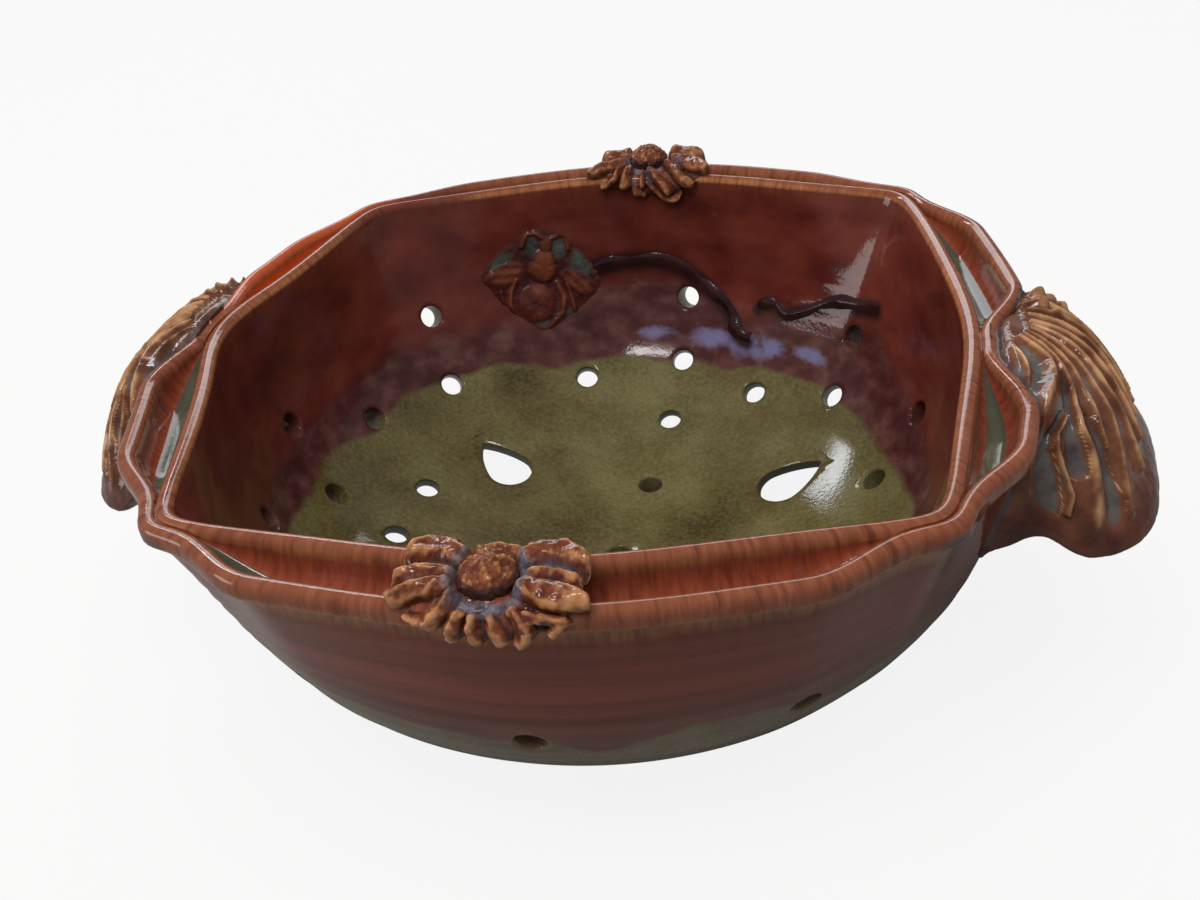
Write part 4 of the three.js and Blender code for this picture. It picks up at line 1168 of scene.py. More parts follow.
def arch(flower_angle, along, outwards, lift):
    """A place on a flower that drapes over the rim: along it, outwards across it, and lifted."""
    here = np.array([float(flower_angle)])
    gap = lip_gap(here)[0]
    angle = flower_angle + np.degrees(along / (lip_radius(here)[0] + gap / 2))
    middle = lip_radius(angle) + lip_gap(angle) / 2
    crown = gap / 2 + HALF_LIP + PETAL_THICKNESS - SHOULDER_RADIUS
    far = np.abs(outwards)
    bend = np.clip((far - crown) / SHOULDER_RADIUS, 0, np.pi / 2)
    leg = np.maximum(far - crown - SHOULDER_RADIUS * np.pi / 2, 0)
    radius = SHOULDER_RADIUS + lift
    offset = np.minimum(far, crown) + radius * np.sin(bend)
    height = RIM_HEIGHT + CLEARANCE + PETAL_THICKNESS - SHOULDER_RADIUS + radius * np.cos(bend) - leg
    return ring_points(middle + np.sign(outwards) * offset, angle, height)


def rosette(side, turn, outward):
    """How far out the petals end at an angle, their lift at a share of the way, and the slate."""
    outline, petals, folds, swells, slate_lines = FLOWERS[side]
    tip = np.interp(turn, outline[:, 0], outline[:, 1], period=360)
    bearing = np.radians(turn)
    x, y = outward * tip * np.sin(bearing), outward * tip * np.cos(bearing)
    lift = np.full_like(turn, VALLEY)
    for place, out, size, rise in swells:
        lift += rise * np.exp(-(((x - place) ** 2 + (y - out) ** 2) / size ** 2))
    petal = np.zeros_like(turn)
    for height, stops in petals:
        full = np.clip(1 - beside_line(x, y, stops) ** PETAL_POWER, 0, 1) ** PETAL_FULLNESS
        petal = np.maximum(petal, height * full)
    fold = np.zeros_like(turn)
    for stops in folds:
        fold = np.maximum(fold, np.exp(-(beside_line(x, y, stops) ** 2)))
    slate = np.zeros_like(turn)
    for stops in slate_lines:
        slate = np.maximum(slate, np.exp(-(beside_line(x, y, stops) ** 2)))
    folded = petal + FOLD_HEIGHT * fold * np.clip(petal, LEAST_FOLD, 1)
    lift += folded * ease(np.hypot(x, y), *PETAL_START)
    lift -= EDGE_DROP * ease(outward, EDGE_START, 1.0) * np.clip(1 - petal, 0, 1)
    return tip, lift, slate


print("the front flower reaches", FRONT_OUTLINE[:, 1].max(), "mm from its middle")

# %% Press the petals
PETAL_COLUMNS, TOP_ROWS, EDGE_ROWS, BELOW_ROWS = 416, 64, 6, 8
PETAL_ROWS = TOP_ROWS + EDGE_ROWS + BELOW_ROWS
EDGE_BULGE = 0.5


def press_petals(side):
    marks = {}

    def place(across, along):
        row = np.rint(along * PETAL_ROWS)
        turn = across * 360
        outward = np.clip(row / TOP_ROWS, 0, 1)
        tip, lift, marks["slate"] = rosette(side, turn % 360, outward)
        under = -PETAL_THICKNESS - CLEARANCE
        round_edge = np.clip((row - TOP_ROWS) / EDGE_ROWS, 0, 1)
        size = outward * tip + EDGE_BULGE * np.sin(np.pi * round_edge)
        lift = mix(lift, under, (1 - np.cos(np.pi * round_edge)) / 2)
        size *= np.clip((PETAL_ROWS - row) / BELOW_ROWS, 0, 1)
        bearing = np.radians(turn)
        along_rim = FACING[side] * size * np.sin(bearing)
        across_rim = FLOWER_SHIFT + FACING[side] * size * np.cos(bearing)
        return arch(FLOWER_ANGLES[side], along_rim, across_rim, lift)

    piece = clay_sheet(f"{side}_flower_rosette", PETAL_COLUMNS, PETAL_ROWS, place)
    store(piece, **marks)
    weld(piece)
    crumple(piece, size=2.6, depth=0.3)
    crumple(piece, size=0.9, depth=0.07)
    smooth(piece, angle=80)
    hollow = hollowness(piece, 40)
    # On the back flower the amber is halved as painted shade
    store(piece, pool=ease(hollow, 0.08, 0.5), ridge=LIT_AMBER_SHARE[side] * ease(-hollow, -0.02, 0.42))
    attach(piece, "root")
    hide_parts(f"{side}_flower_petals")
    print(piece.name, len(piece.data.polygons), "faces")
    return piece


rosettes = [press_petals(side) for side in FLOWER_ANGLES]

# %% Press the seeded domes
CENTRE_COLUMNS, DOME_ROWS, SIDE_ROWS = 144, 52, 6
CENTRE_ROWS = DOME_ROWS + SIDE_ROWS + 3
DOME_POWER = 2.4
SEEDS = 75
SEED_SIZE = 0.66
SEED_HEIGHT = 0.7
GOLDEN_ANGLE = 137.508
SEED_REACH = 1.02
SEED_WANDER = 0.45
LOW_SEED, INNER_SEED = 0.35, 0.55
SEED_SPREAD = 1.6


def press_centre(side):
    """The dome in the middle of a flower, with seeds on a spiral as on a real flower head."""
    marks = {}

    def place(across, along):
        row = np.rint(along * CENTRE_ROWS)
        turn = across * 2 * np.pi
        share = np.clip(row / DOME_ROWS, 0, 1)
        size = CENTRE_RADIUS * share * np.clip(CENTRE_ROWS - row, 0, 1)
        x, y = size * np.sin(turn), size * np.cos(turn)
        seeds = np.zeros_like(x)
        for number in range(SEEDS):
            reach = CENTRE_RADIUS * SEED_REACH * math.sqrt((number + 0.5) / SEEDS)
            bearing = math.radians(GOLDEN_ANGLE * number) + SEED_WANDER * math.sin(number * 2.1)
            away = np.hypot(x - reach * math.sin(bearing), y - reach * math.cos(bearing)) / SEED_SIZE
            tall = mix(LOW_SEED, 1, math.sin(number * 1.7) ** 2)
            seeds = np.maximum(seeds, tall * np.clip(1 - away ** 2 / SEED_SPREAD, 0, 1))
        seeds *= mix(INNER_SEED, 1, ease(share, 0.1, 0.6))
        lift = CENTRE_RISE * (1 - share ** DOME_POWER) + SEED_HEIGHT * (seeds - 0.5)
        low = np.clip((row - DOME_ROWS) / SIDE_ROWS, 0, 1)
        lift = mix(lift, -PETAL_THICKNESS, low)
        marks["ridge"] = np.where(row <= DOME_ROWS, seeds, 0)
        marks["pool"] = np.where(row <= DOME_ROWS, ease(share, 0.82, 1.0), 1)
        return arch(FLOWER_ANGLES[side], x, FLOWER_SHIFT + y, lift)

    piece = clay_sheet(f"{side}_flower_seeds", CENTRE_COLUMNS, CENTRE_ROWS, place)
    store(piece, **marks)
    weld(piece)
    crumple(piece, size=1.1, depth=0.3)
    smooth(piece, angle=80)
    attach(piece, "root")
    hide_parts(f"{side}_flower_centre")
    print(piece.name, len(piece.data.polygons), "faces")
    return piece


centres = [press_centre(side) for side in FLOWER_ANGLES]

# %% [markdown]
# ## The bee
# A lozenge of clay was stamped with a bee and stuck on the inside of the back wall. A stamp gives low
# relief with soft edges, so the bee is a height above the wall: ovals for its body and wings, and
# ridges for legs and feelers.

# %% Measures of the bee
BEE_ANGLE = 110.5
BEE_HEIGHT = RIM_HEIGHT - 31
PAD_MIDDLE, PAD_TURN = (0.6, 2.8), -9.6
PAD_WIDTH, PAD_LENGTH, PAD_RISE = 43, 33, 0.5
# Each oval: its middle along and up the wall, its half sizes, its turn in degrees and its rise
BEE_OVALS = [
    (1.0, 5.0, 5.2, 3.8, -12, 1.1), (1.8, 7.6, 3.9, 4.2, -12, 1.1), (3.3, 12.6, 2.2, 2.9, -12, 1.0),
    (-11.2, 5.3, 7.3, 3.8, 10, 0.65), (12.7, -0.3, 7.4, 3.3, -32, 0.65),
]
# Its abdomen: a round shield with a flat top
SHIELD = (-2.6, -4.4, 6.4, 5.9, 1.0)
SHIELD_TOP = (0.9, -0.15)
# Each ridge: its points along and up the wall, and half its width
BEE_RIDGES = [
    [(-8.2, 3.5, 0.8), (-10.7, 0.2, 0.8), (-11.9, -3.6, 0.8), (-10.6, -9.6, 0.7)],
    [(5.4, 0.4, 0.9), (7.0, -4.3, 0.9), (5.8, -8.4, 0.9), (0.6, -12.0, 0.7)],
    [(8.2, 1.2, 0.7), (9.6, -4.6, 0.7), (10.4, -9.6, 0.6)],
    [(-14.0, 0.6, 0.6), (-14.1, -2.6, 0.5)],
    [(2.4, 14.7, 0.7), (0.5, 16.8, 0.7), (-2.6, 16.6, 0.7), (-4.4, 13.2, 0.7)],
    [(5.1, 14.3, 0.7), (8.0, 15.2, 0.7), (10.4, 14.4, 0.7), (10.4, 10.4, 0.7)],
]
# Pools of teal: a place and a size
TEAL_POOLS = [
    (-1.5, 12.5, 3.8), (7.2, 11.0, 3.8), (14.5, 6.0, 5.2), (-12.5, 10.5, 4.6), (-2.5, -11.4, 3.8),
    (8, -9, 2.4),
]
print(len(BEE_OVALS), "ovals and", len(BEE_RIDGES), "ridges make the bee")

# %% The wall behind the bee
LOOK_ASIDE = 0.5


def on_wall(along, up, out):
    """A place by the bee: along the wall, up it, and out of the clay."""
    reach = lip_radius(np.array([float(BEE_ANGLE)]))[0]

    def spot(x, y):
        angle = BEE_ANGLE - np.degrees(x / reach)
        height = BEE_HEIGHT + y
        share = share_where(lambda a, step: inner_wall(a, step)[1], height, angle)
        return ring_points(inner_wall(angle, share)[0], angle, height)

    here = spot(along, up)
    sideways = spot(along + LOOK_ASIDE, up) - spot(along - LOOK_ASIDE, up)
    upwards = spot(along, up + LOOK_ASIDE) - spot(along, up - LOOK_ASIDE)
    normal = np.cross(sideways, upwards)
    normal /= np.linalg.norm(normal, axis=1)[:, None]
    return here + normal * out[:, None]


print("bee", BEE_ANGLE, "degrees round the bowl and", round(BEE_HEIGHT, 1), "mm up")

# %% Stamp the bee
BEE_COLUMNS, BEE_ROWS = 200, 160
SHEET_ACROSS, SHEET_UP = (-22.4, 23.6), (-15.2, 20.6)
PAD_POWER = 1.35
OVAL_POWER, SHIELD_POWER = 0.6, 0.5
WING_WIDTH, VEIN_DEPTH = 7, 0.18
RIDGE_RISE = 0.75
# Below these heights glaze and teal pool, and above the last it is thin
POOL_BELOW, TEAL_BELOW, THIN_ABOVE = 0.45, 0.6, 1.1
SHIELD_DARK = 0.45
PAD_SINK = 0.45
BEE_BACK = 1.2
bee_marks = {}


def stamp(across, along):
    x = mix(*SHEET_ACROSS, across)
    y = mix(*SHEET_UP, along)
    swing = math.radians(PAD_TURN)
    aside = (x - PAD_MIDDLE[0]) * math.cos(swing) + (y - PAD_MIDDLE[1]) * math.sin(swing)
    above = (y - PAD_MIDDLE[1]) * math.cos(swing) - (x - PAD_MIDDLE[0]) * math.sin(swing)
    edge = np.abs(2 * aside / PAD_WIDTH) ** PAD_POWER + np.abs(2 * above / PAD_LENGTH) ** PAD_POWER
    edge = edge ** (1 / PAD_POWER)
    pad = ease(edge, 1.0, 0.68)
    body = np.zeros_like(x)
    for middle, height, wide, tall, turn, rise in BEE_OVALS:
        swing = math.radians(turn)
        beside = (x - middle) * math.cos(swing) + (y - height) * math.sin(swing)
        over = (y - height) * math.cos(swing) - (x - middle) * math.sin(swing)
        inside = np.clip(1 - (beside / wide) ** 2 - (over / tall) ** 2, 0, 1)
        vein = VEIN_DEPTH * np.sin(over * 2.2 + beside * 0.6) if wide > WING_WIDTH else 0
        body = np.maximum(body, rise * inside ** OVAL_POWER * (1 + vein))
    middle, height, wide, tall, rise = SHIELD
    inside = np.clip(1 - ((x - middle) / wide) ** 2 - ((y - height) / tall) ** 2, 0, 1)
    below_top = SHIELD_TOP[0] + SHIELD_TOP[1] * x - y
    body = np.maximum(body, rise * inside ** SHIELD_POWER * ease(below_top, -0.4, 0.6))
    for stops in BEE_RIDGES:
        body = np.maximum(body, RIDGE_RISE * np.exp(-(beside_line(x, y, stops) ** 2)))
    flat = np.clip(1 - body / POOL_BELOW, 0, 1) * ease(edge, 1.0, 0.75)
    teal = np.zeros_like(x)
    for place, level, size in TEAL_POOLS:
        teal = np.maximum(teal, np.exp(-(((x - place) ** 2 + (y - level) ** 2) / size ** 2)))
    bee_marks["pool"] = flat
    bee_marks["teal"] = teal * np.clip(1 - body / TEAL_BELOW, 0, 1)
    thin = np.clip(body / THIN_ABOVE, 0, 1)
    bee_marks["ridge"] = thin * mix(1, SHIELD_DARK, ease(below_top, 1, 5) * (inside > 0))
    bee_marks["pad"] = pad
    sunk = PAD_SINK * (1 - ease(edge, 1.05, 0.9))
    return on_wall(x, y, pad * PAD_RISE + body * ease(edge, 1.05, 0.8) - sunk)


bee = clay_sheet("bee_stamped", BEE_COLUMNS, BEE_ROWS, stamp)
store(bee, **bee_marks)
apply_modifier(bee, "SOLIDIFY", thickness=BEE_BACK * MM, offset=-1)
weld(bee)
crumple(bee, size=2.0, depth=0.12)
smooth(bee, angle=70)
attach(bee, "root")
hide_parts("bee_sprig")
print("bee:", len(bee.data.polygons), "faces")

# %% [markdown]
# ## The trailed lines
# Two thin lines of dark slip wander from the bee along the back wall, as if to show its flight. Slip
# is squeezed from a nozzle, so a curve with a round section gives it well. It is mostly sunk in the
# wall it was trailed on, so only a low ridge shows, with a soft dark border in the glaze of the wall.

# %% Trail the slip
TRAIL_RADIUS = 3.4
TRAIL_SINK = 3.05
END_SHARE = 0.9
UNEVEN_SHARE = 0.1


def trail_slip(name, stops):
    angle, height = np.array(stops).T
    share = share_where(lambda a, step: inner_wall(a, step)[1], height, angle)
    radius = inner_wall(angle, share)[0] + TRAIL_SINK
    line = bpy.data.curves.new(name, "CURVE")
    line.dimensions = "3D"
    line.bevel_depth = TRAIL_RADIUS * MM
    line.bevel_resolution = 5
    line.use_fill_caps = True
    spline = line.splines.new("BEZIER")
    spline.resolution_u = 10
    spline.bezier_points.add(len(stops) - 1)
    places = ring_points(radius, angle, height) * MM
    for index, (point, spot) in enumerate(zip(spline.bezier_points, places)):
        is_end = index in (0, len(stops) - 1)
        point.co = spot
        point.handle_left_type = point.handle_right_type = "AUTO"
        point.radius = END_SHARE if is_end else 1 + UNEVEN_SHARE * math.sin(index * 2.3)
    trail = bpy.data.objects.new(name, line)
    bpy.context.scene.collection.objects.link(trail)
    alone(trail)
    bpy.ops.object.convert(target="MESH")
    weld(trail)
    smooth(trail, angle=60)
    return trail


trails = [trail_slip(f"slip_line_{number}", stops) for number, stops in enumerate(TRAILS, 1)]
for trail in trails:
    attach(trail, "root")
print(len(trails), "slip lines")

# %% [markdown]
# ## Studio
# A pale floor and a white surround stand for the table and the room. The floor takes the shadow of
# the bowl. Large soft lamps give the long highlights that show a glossy glaze, and a small roof
# window gives glints. The ceiling and the side fill could be seen in the gloss too, but would wash it
# out, so they only light the clay.

# %% Helpers for nodes


def node(tree, kind, inputs=None, **settings):
    """Add a node, set its options, and set or link its inputs."""
    made = tree.nodes.new(kind)
    for name, value in settings.items():
        setattr(made, name, value)
    for name, value in (inputs or {}).items():
        if isinstance(value, bpy.types.NodeSocket):
            tree.links.new(value, made.inputs[name])
        else:
            made.inputs[name].default_value = value
    return made


def fresh_material(name):
    material = bpy.data.materials.new(name)
    material.use_nodes = True
    material.node_tree.nodes.clear()
    return material, material.node_tree


def colour(red, green, blue):
    """A colour as it is seen, with parts from 0 to 255, in the linear numbers that shaders take."""
    parts = np.array([red, green, blue]) / 255
    linear = np.where(parts <= 0.04045, parts / 12.92, ((parts + 0.055) / 1.055) ** 2.4)
    return (*linear, 1)


print("node helpers ready")

# %% Floor and surround
FLOOR_SIZE = 6.0
FLOOR_MATTE = (0.28, 0.28, 0.27, 1)
FLOOR_GLOW, GLOW_SHARE = 1.12, 0.78
WHITE = (1, 1, 1, 1)
ROOM_LIGHT, SEEN_LIGHT = 0.24, 1.0


def seen_rays(tree):
    """1 for the rays that show the background itself, which come straight from the camera."""
    return node(tree, "ShaderNodeLightPath").outputs["Is Camera Ray"]


def pale_floor():
    material, tree = fresh_material("pale_floor")
    matte = node(tree, "ShaderNodeBsdfDiffuse", {"Color": FLOOR_MATTE})
    glow = node(tree, "ShaderNodeEmission", {"Color": WHITE, "Strength": FLOOR_GLOW})
    share = node(tree, "ShaderNodeMath", {0: seen_rays(tree), 1: GLOW_SHARE}, operation="MULTIPLY")
    parts = {0: share.outputs[0], 1: matte.outputs[0], 2: glow.outputs[0]}
    both = node(tree, "ShaderNodeMixShader", parts)
    node(tree, "ShaderNodeOutputMaterial", {"Surface": both.outputs[0]})
    return material


bpy.ops.object.select_all(action="DESELECT")
bpy.ops.mesh.primitive_plane_add(size=FLOOR_SIZE)
floor = bpy.context.object
floor.name = "studio_floor"
floor.data.materials.append(pale_floor())

world = bpy.data.worlds.new("studio")
bpy.context.scene.world = world
world.use_nodes = True
world.node_tree.nodes.clear()
room = world.node_tree
light = {"Value": seen_rays(room), "To Min": ROOM_LIGHT, "To Max": SEEN_LIGHT}
strength = node(room, "ShaderNodeMapRange", light).outputs[0]
surround = node(room, "ShaderNodeBackground", {"Color": WHITE, "Strength": strength})
node(room, "ShaderNodeOutputWorld", {"Surface": surround.outputs[0]})
bpy.context.scene.view_settings.view_transform = "Standard"
print("floor", FLOOR_SIZE, "m wide")

# %% Lamps
LAMP_TARGET = Vector((0, 0, 0.05))
# Each lamp: its place and size in metres, its watts, its tint, and whether it shows in the gloss
LAMPS = [
    ("window", (-0.59, 0.81, 0.84), (0.42, 0.11), 2.0, (0.9, 0.95, 1.0), True),
    ("low_sky", (-0.22, 1.28, 0.72), (1.1, 0.36), 4.6, (0.92, 0.96, 1.0), True),
    ("side_window", (-1.1, -0.4, 0.25), (0.42, 0.36), 2.0, (1.0, 0.95, 0.92), True),
    ("roof_window", (-0.16, -0.4, 0.88), (0.2, 0.1), 1.2, (1.0, 0.98, 0.96), True),
    ("ceiling", (0.0, -0.4, 1.5), (1.6, 1.3), 23.0, (1.0, 0.98, 0.95), False),
    ("side_fill", (-1.3, -0.3, 0.8), (0.9, 0.9), 5.0, (1.0, 0.97, 0.94), False),
]


def soft_lamp(name, place, size, watts, tint, in_gloss):
    """A lamp with four sides at a place in metres, turned to the middle of the bowl."""
    data = bpy.data.lights.new(name, "AREA")
    data.shape = "RECTANGLE"
    data.size, data.size_y = size
    data.energy = watts
    data.color = tint
    lamp = bpy.data.objects.new(name, data)
    lamp.location = place
    lamp.rotation_euler = (LAMP_TARGET - Vector(place)).to_track_quat("-Z", "Y").to_euler()
    bpy.context.scene.collection.objects.link(lamp)
    lamp.visible_glossy = in_gloss


for lamp in LAMPS:
    soft_lamp(*lamp)
print(len(LAMPS), "lamps")

# %% [markdown]
# ## Finish of the body
# The glaze is one glossy coat, so its gloss is nearly the same all over and only its colour changes.
# It could be painted by hand as a picture. Here noise along the wall gives the streaks of running
# glaze, noise round it the lines of throwing, and fine noise the speckle, so it fits any size.

# %% Helpers for glazes
BUMP_STRENGTH = 0.6
GLAZE_IOR = 1.42
MOTTLE_SPAN = (0.3, 0.7)


def attribute(tree, name):
    return node(tree, "ShaderNodeAttribute", attribute_name=name).outputs["Fac"]


def noise(tree, scale, stretch=(1, 1, 1), detail=3.0, around=False, rough=0.5):
    """Noise on the piece's own coordinates in metres, or on the stored direction round the bowl."""
    if around:
        place = node(tree, "ShaderNodeAttribute", attribute_name="around").outputs["Vector"]
    else:
        place = node(tree, "ShaderNodeTexCoord").outputs["Object"]
    mapped = node(tree, "ShaderNodeMapping", {"Vector": place, "Scale": stretch})
    cloud = node(tree, "ShaderNodeTexNoise", {
        "Vector": mapped.outputs[0], "Scale": scale, "Detail": detail, "Roughness": rough})
    return cloud.outputs["Fac"]


def ramp(tree, value, *stops):
    """A colour ramp from stops: a place, and a colour as it is seen."""
    made = node(tree, "ShaderNodeValToRGB", {"Fac": value})
    spare = made.color_ramp.elements
    for index, (place, *shade) in enumerate(stops):
        stop = spare[index] if index < 2 else spare.new(place)
        stop.position = place
        stop.color = colour(*shade)
    return made.outputs["Color"]


def span(tree, value, low, high, to_low=0.0, to_high=1.0):
    """A smooth ramp of a value from one span to another."""
    made = node(tree, "ShaderNodeMapRange", {
        "Value": value, "From Min": low, "From Max": high, "To Min": to_low, "To Max": to_high},
        interpolation_type="SMOOTHSTEP")
    return made.outputs["Result"]


def blend(tree, share, low, high):
    made = node(tree, "ShaderNodeMix", data_type="RGBA", clamp_factor=True)
    for index, value in ((0, share), (6, low), (7, high)):
        if isinstance(value, bpy.types.NodeSocket):
            tree.links.new(value, made.inputs[index])
        else:
            made.inputs[index].default_value = value
    return made.outputs[2]


def maths(tree, kind, first, second):
    return node(tree, "ShaderNodeMath", {0: first, 1: second}, operation=kind).outputs[0]


def times(tree, first, second):
    return maths(tree, "MULTIPLY", first, second)


def plus(tree, first, second):
    return maths(tree, "ADD", first, second)


def glossy_coat(tree, shade, mottle, gloss, height, depth):
    """A glassy coat whose roughness varies a little with the mottle, with a slight unevenness."""
    roughness = span(tree, mottle, *MOTTLE_SPAN, *gloss)
    bump = node(tree, "ShaderNodeBump", {"Height": height, "Strength": BUMP_STRENGTH, "Distance": depth})
    shader = node(tree, "ShaderNodeBsdfPrincipled", {
        "Base Color": shade, "Roughness": roughness, "IOR": GLAZE_IOR, "Normal": bump.outputs[0]})
    node(tree, "ShaderNodeOutputMaterial", {"Surface": shader.outputs[0]})


print("glaze helpers ready")

# %% Burgundy and olive glaze


def body_glaze():
    material, tree = fresh_material("burgundy_and_olive_glaze")
    mottle = noise(tree, 55, detail=4)
    cloud = noise(tree, 22, detail=3)
    blotch = noise(tree, 1, stretch=(11, 11, 6), around=True, detail=5, rough=0.55)
    waves = noise(tree, 35, detail=2)
    speck = noise(tree, 900, detail=2)
    runs = noise(tree, 1, stretch=(6, 6, 3), around=True, detail=5)
    rings = noise(tree, 1, stretch=(7, 7, 260), detail=3)
    ticks = noise(tree, 1, stretch=(70, 70, 4), around=True, detail=5, rough=0.6)
    outside = attribute(tree, "outside")

    # Burgundy in streaks, and warmer on the outside
    streaks = blend(tree, outside, runs, rings)
    burgundy = ramp(tree, streaks, (0.3, 70, 26, 22), (0.5, 88, 37, 30), (0.7, 102, 47, 37))
    warmer = ramp(tree, streaks, (0.3, 80, 30, 22), (0.5, 102, 44, 33), (0.7, 118, 56, 42))
    burgundy = blend(tree, outside, burgundy, warmer)

    # The band above the border, where the two glazes ran together
    uneven = plus(tree, times(tree, waves, 7.0), times(tree, mottle, 2.0))
    edge = plus(tree, plus(tree, attribute(tree, "above_border"), uneven), -4.5)
    run_together = plus(tree, attribute(tree, "dusk"), times(tree, blotch, 0.7))
    band_inside = times(tree, span(tree, run_together, 0.45, 1.25), 0.9)
    band_outside = times(tree, span(tree, edge, 12.0, 0.5), 0.8)
    dusk_inside = ramp(tree, blotch, (0.34, 52, 24, 24), (0.5, 69, 39, 37), (0.68, 92, 60, 55))
    dusk_outside = ramp(tree, cloud, (0.35, 72, 37, 30), (0.65, 106, 66, 54))
    band = blend(tree, outside, band_inside, band_outside)
    shade = blend(tree, band, burgundy, blend(tree, outside, dusk_inside, dusk_outside))
    tinted = plus(tree, attribute(tree, "violet"), times(tree, blotch, 1.6))
    shade = blend(tree, times(tree, span(tree, tinted, 1.05, 1.75), 0.85), shade, colour(106, 104, 140))
    shade = blend(tree, span(tree, attribute(tree, "trail"), 0.1, 0.9), shade, colour(36, 16, 20))

    # Olive below the border, and drab on the outside
    grain = plus(tree, times(tree, mottle, 0.4), times(tree, speck, 0.3))
    grain = plus(tree, grain, times(tree, cloud, 0.3))
    olive = ramp(tree, grain, (0.36, 60, 51, 24), (0.5, 86, 78, 47), (0.64, 105, 99, 65))
    drab = ramp(tree, grain, (0.36, 84, 71, 50), (0.64, 116, 103, 78))
    shade = blend(tree, span(tree, edge, 0.9, -0.9), shade, blend(tree, outside, olive, drab))

    # Brown lips, a red brown groove, painted orange sunlight in one lobe and amber on thin edges
    lip_brown = ramp(tree, ticks, (0.3, 94, 49, 33), (0.45, 117, 65, 44), (0.7, 136, 82, 58))
    shade = blend(tree, times(tree, attribute(tree, "lip"), 0.92), shade, lip_brown)
    red_brown = ramp(tree, ticks, (0.3, 104, 46, 32), (0.6, 136, 66, 46))
    shade = blend(tree, attribute(tree, "groove"), shade, red_brown)
    # Painted sunlight in the groove of the left lobe
    shade = blend(tree, times(tree, attribute(tree, "glow"), 0.85), shade, colour(220, 96, 42))
    amber = ramp(tree, ticks, (0.35, 122, 70, 42), (0.65, 164, 108, 66))
    thin = plus(tree, attribute(tree, "edge"), times(tree, mottle, 0.8))
    thin = span(tree, thin, 0.75, 1.5)
    shade = blend(tree, times(tree, thin, 0.85), shade, amber)

    # Pools of grey green and slate, painted light in the hole tunnels, and the bare clay of the foot
    grey_green = ramp(tree, mottle, (0.35, 50, 49, 38), (0.65, 80, 80, 64))
    shade = blend(tree, attribute(tree, "pool"), shade, grey_green)
    pooled = plus(tree, attribute(tree, "slate"), times(tree, mottle, 0.5))
    pooled = span(tree, pooled, 0.55, 1.0)
    shade = blend(tree, pooled, shade, colour(70, 66, 70))
    # Painted light in the tunnels of the holes, over thin glaze on pale clay
    shade = blend(tree, times(tree, attribute(tree, "tunnel"), 0.7), shade, colour(150, 142, 122))
    shade = blend(tree, attribute(tree, "bare_foot"), shade, colour(150, 118, 92))
    glossy_coat(tree, shade, mottle, (0.06, 0.12), speck, 0.00004)
    return material


bowl.data.materials.clear()
bowl.data.materials.append(body_glaze())
print("body glazed")

# %% [markdown]
# ## Finishes of the pressed pieces
# On relief, one glaze gives three colours: it is thin and amber on ridges, red brown on open slopes,
# and dark where it pools. The numbers kept at each point say which is which, and noise makes the
# change uneven.

# %% A glaze that breaks on relief
SPECK_SCALE = 1500
CREST_FROM, CREST_FULL = 0.3, 0.85
POOL_FROM, POOL_FULL = 0.35, 0.8


def relief_glaze(name, slope, crest, pooled, grain, patchy=0.9, soft=0.0):
    """A glaze with a ramp of colours on its slopes, on its crests and in its pools."""
    material, tree = fresh_material(name)
    mottle = noise(tree, grain, detail=4)
    speck = noise(tree, SPECK_SCALE, detail=2)
    uneven = times(tree, maths(tree, "SUBTRACT", mottle, 0.5), patchy)
    ridge = plus(tree, attribute(tree, "ridge"), uneven)
    pool = plus(tree, attribute(tree, "pool"), uneven)
    on_crest = span(tree, ridge, CREST_FROM - soft, CREST_FULL + soft)
    in_pool = span(tree, pool, POOL_FROM - soft, POOL_FULL + soft)
    shade = ramp(tree, mottle, *slope)
    shade = blend(tree, on_crest, shade, ramp(tree, mottle, *crest))
    shade = blend(tree, in_pool, shade, ramp(tree, mottle, *pooled))
    return material, tree, shade, mottle, speck


def glaze(pieces, material):
    for piece in pieces:
        piece.data.materials.clear()
        piece.data.materials.append(material)


print("relief glaze ready")

# %% Glaze the handles


def handle_glaze():
    material, tree, shade, mottle, speck = relief_glaze(
        "slate_handle_glaze",
        [(0.35, 78, 44, 31), (0.65, 112, 69, 47)],
        [(0.35, 134, 92, 61), (0.65, 178, 136, 98)],
        [(0.35, 58, 49, 50), (0.65, 94, 87, 84)], 170)
    margin = span(tree, attribute(tree, "down"), 0.88, 0.97)
    dark_hem = ramp(tree, mottle, (0.35, 56, 24, 20), (0.65, 78, 38, 30))
    shade = blend(tree, times(tree, margin, 0.8), shade, dark_hem)
    glossy_coat(tree, shade, mottle, (0.07, 0.15), speck, 0.00006)
    return material


glaze(handles, handle_glaze())
print(len(handles), "handles glazed")

# %% Glaze the flowers


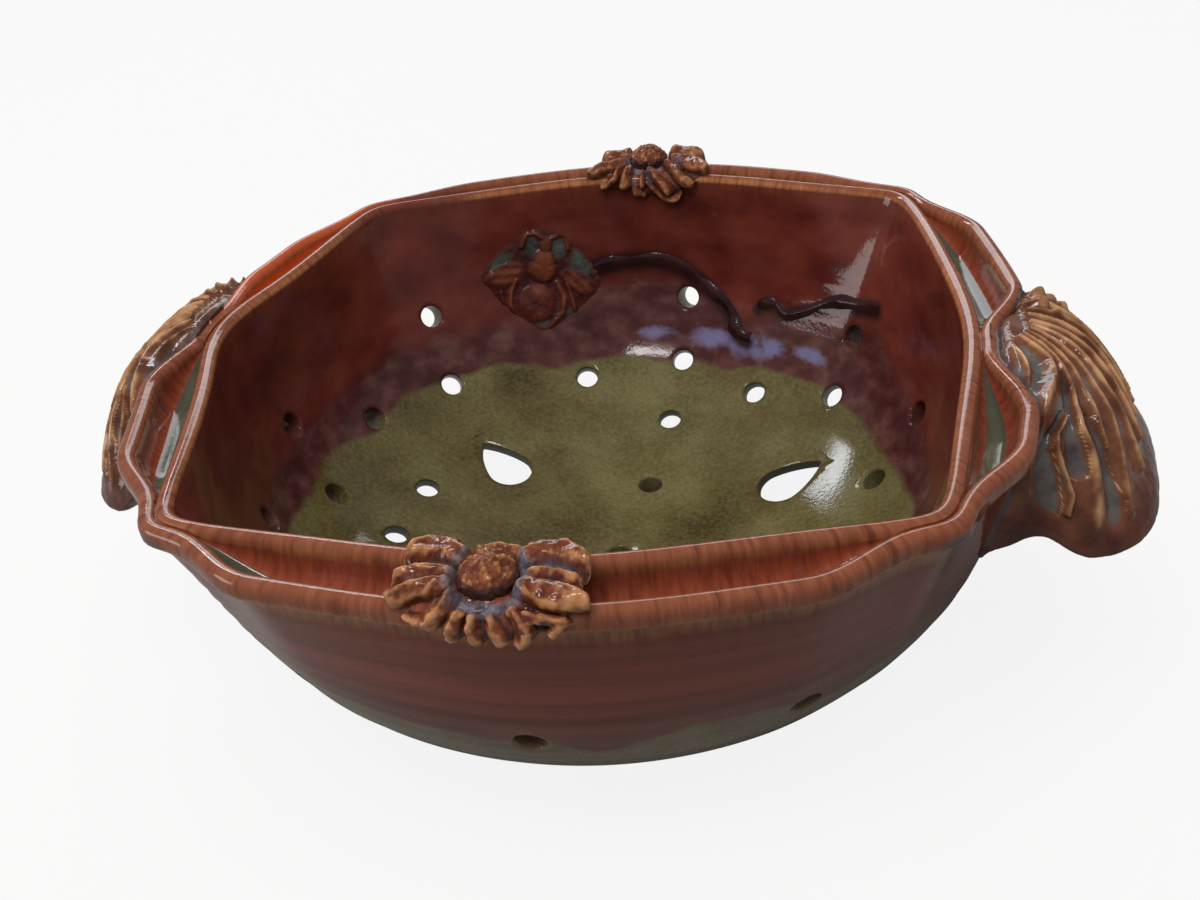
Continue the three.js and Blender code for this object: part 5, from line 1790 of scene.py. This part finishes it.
def petal_glaze():
    material, tree, shade, mottle, speck = relief_glaze(
        "amber_petal_glaze",
        [(0.35, 80, 37, 25), (0.65, 114, 62, 40)],
        [(0.35, 132, 82, 51), (0.65, 172, 122, 83)],
        [(0.35, 36, 18, 18), (0.65, 60, 36, 34)], 420, patchy=1.1, soft=0.3)
    drift = noise(tree, 300, detail=5, rough=0.6)
    pooled = plus(tree, attribute(tree, "slate"), times(tree, drift, 1.4))
    pooled = span(tree, pooled, 0.75, 2.0)
    slate = ramp(tree, mottle, (0.35, 58, 54, 62), (0.65, 104, 108, 124))
    shade = blend(tree, pooled, shade, slate)
    glossy_coat(tree, shade, mottle, (0.05, 0.1), speck, 0.00005)
    return material


def centre_glaze():
    material, tree, shade, mottle, speck = relief_glaze(
        "flower_centre_glaze",
        [(0.35, 84, 40, 24), (0.65, 112, 60, 36)],
        [(0.35, 124, 74, 42), (0.65, 152, 98, 58)],
        [(0.35, 50, 24, 20), (0.65, 74, 44, 36)], 300)
    glossy_coat(tree, shade, mottle, (0.06, 0.12), speck, 0.00006)
    return material


glaze(rosettes, petal_glaze())
glaze(centres, centre_glaze())
print(len(rosettes), "flowers glazed")

# %% Glaze the bee and the slip


def bee_glaze():
    material, tree, shade, mottle, speck = relief_glaze(
        "teal_bee_glaze",
        [(0.35, 62, 25, 20), (0.65, 80, 36, 28)],
        [(0.35, 76, 36, 26), (0.65, 112, 60, 40)],
        [(0.35, 46, 18, 18), (0.65, 70, 32, 30)], 160)
    teal = ramp(tree, mottle, (0.35, 42, 42, 41), (0.65, 70, 73, 68))
    shade = blend(tree, span(tree, attribute(tree, "teal"), 0.25, 0.8), shade, teal)
    shade = blend(tree, span(tree, attribute(tree, "pad"), 0.5, 0.05), shade, colour(66, 26, 22))
    glossy_coat(tree, shade, mottle, (0.1, 0.2), speck, 0.00006)
    return material


def slip_glaze():
    material, tree = fresh_material("dark_slip_glaze")
    mottle = noise(tree, 120, detail=4)
    speck = noise(tree, SPECK_SCALE, detail=2)
    shade = ramp(tree, mottle, (0.35, 28, 11, 15), (0.65, 48, 23, 26))
    glossy_coat(tree, shade, mottle, (0.1, 0.18), speck, 0.00006)
    return material


glaze([bee], bee_glaze())
glaze(trails, slip_glaze())
print("bee and slip glazed")
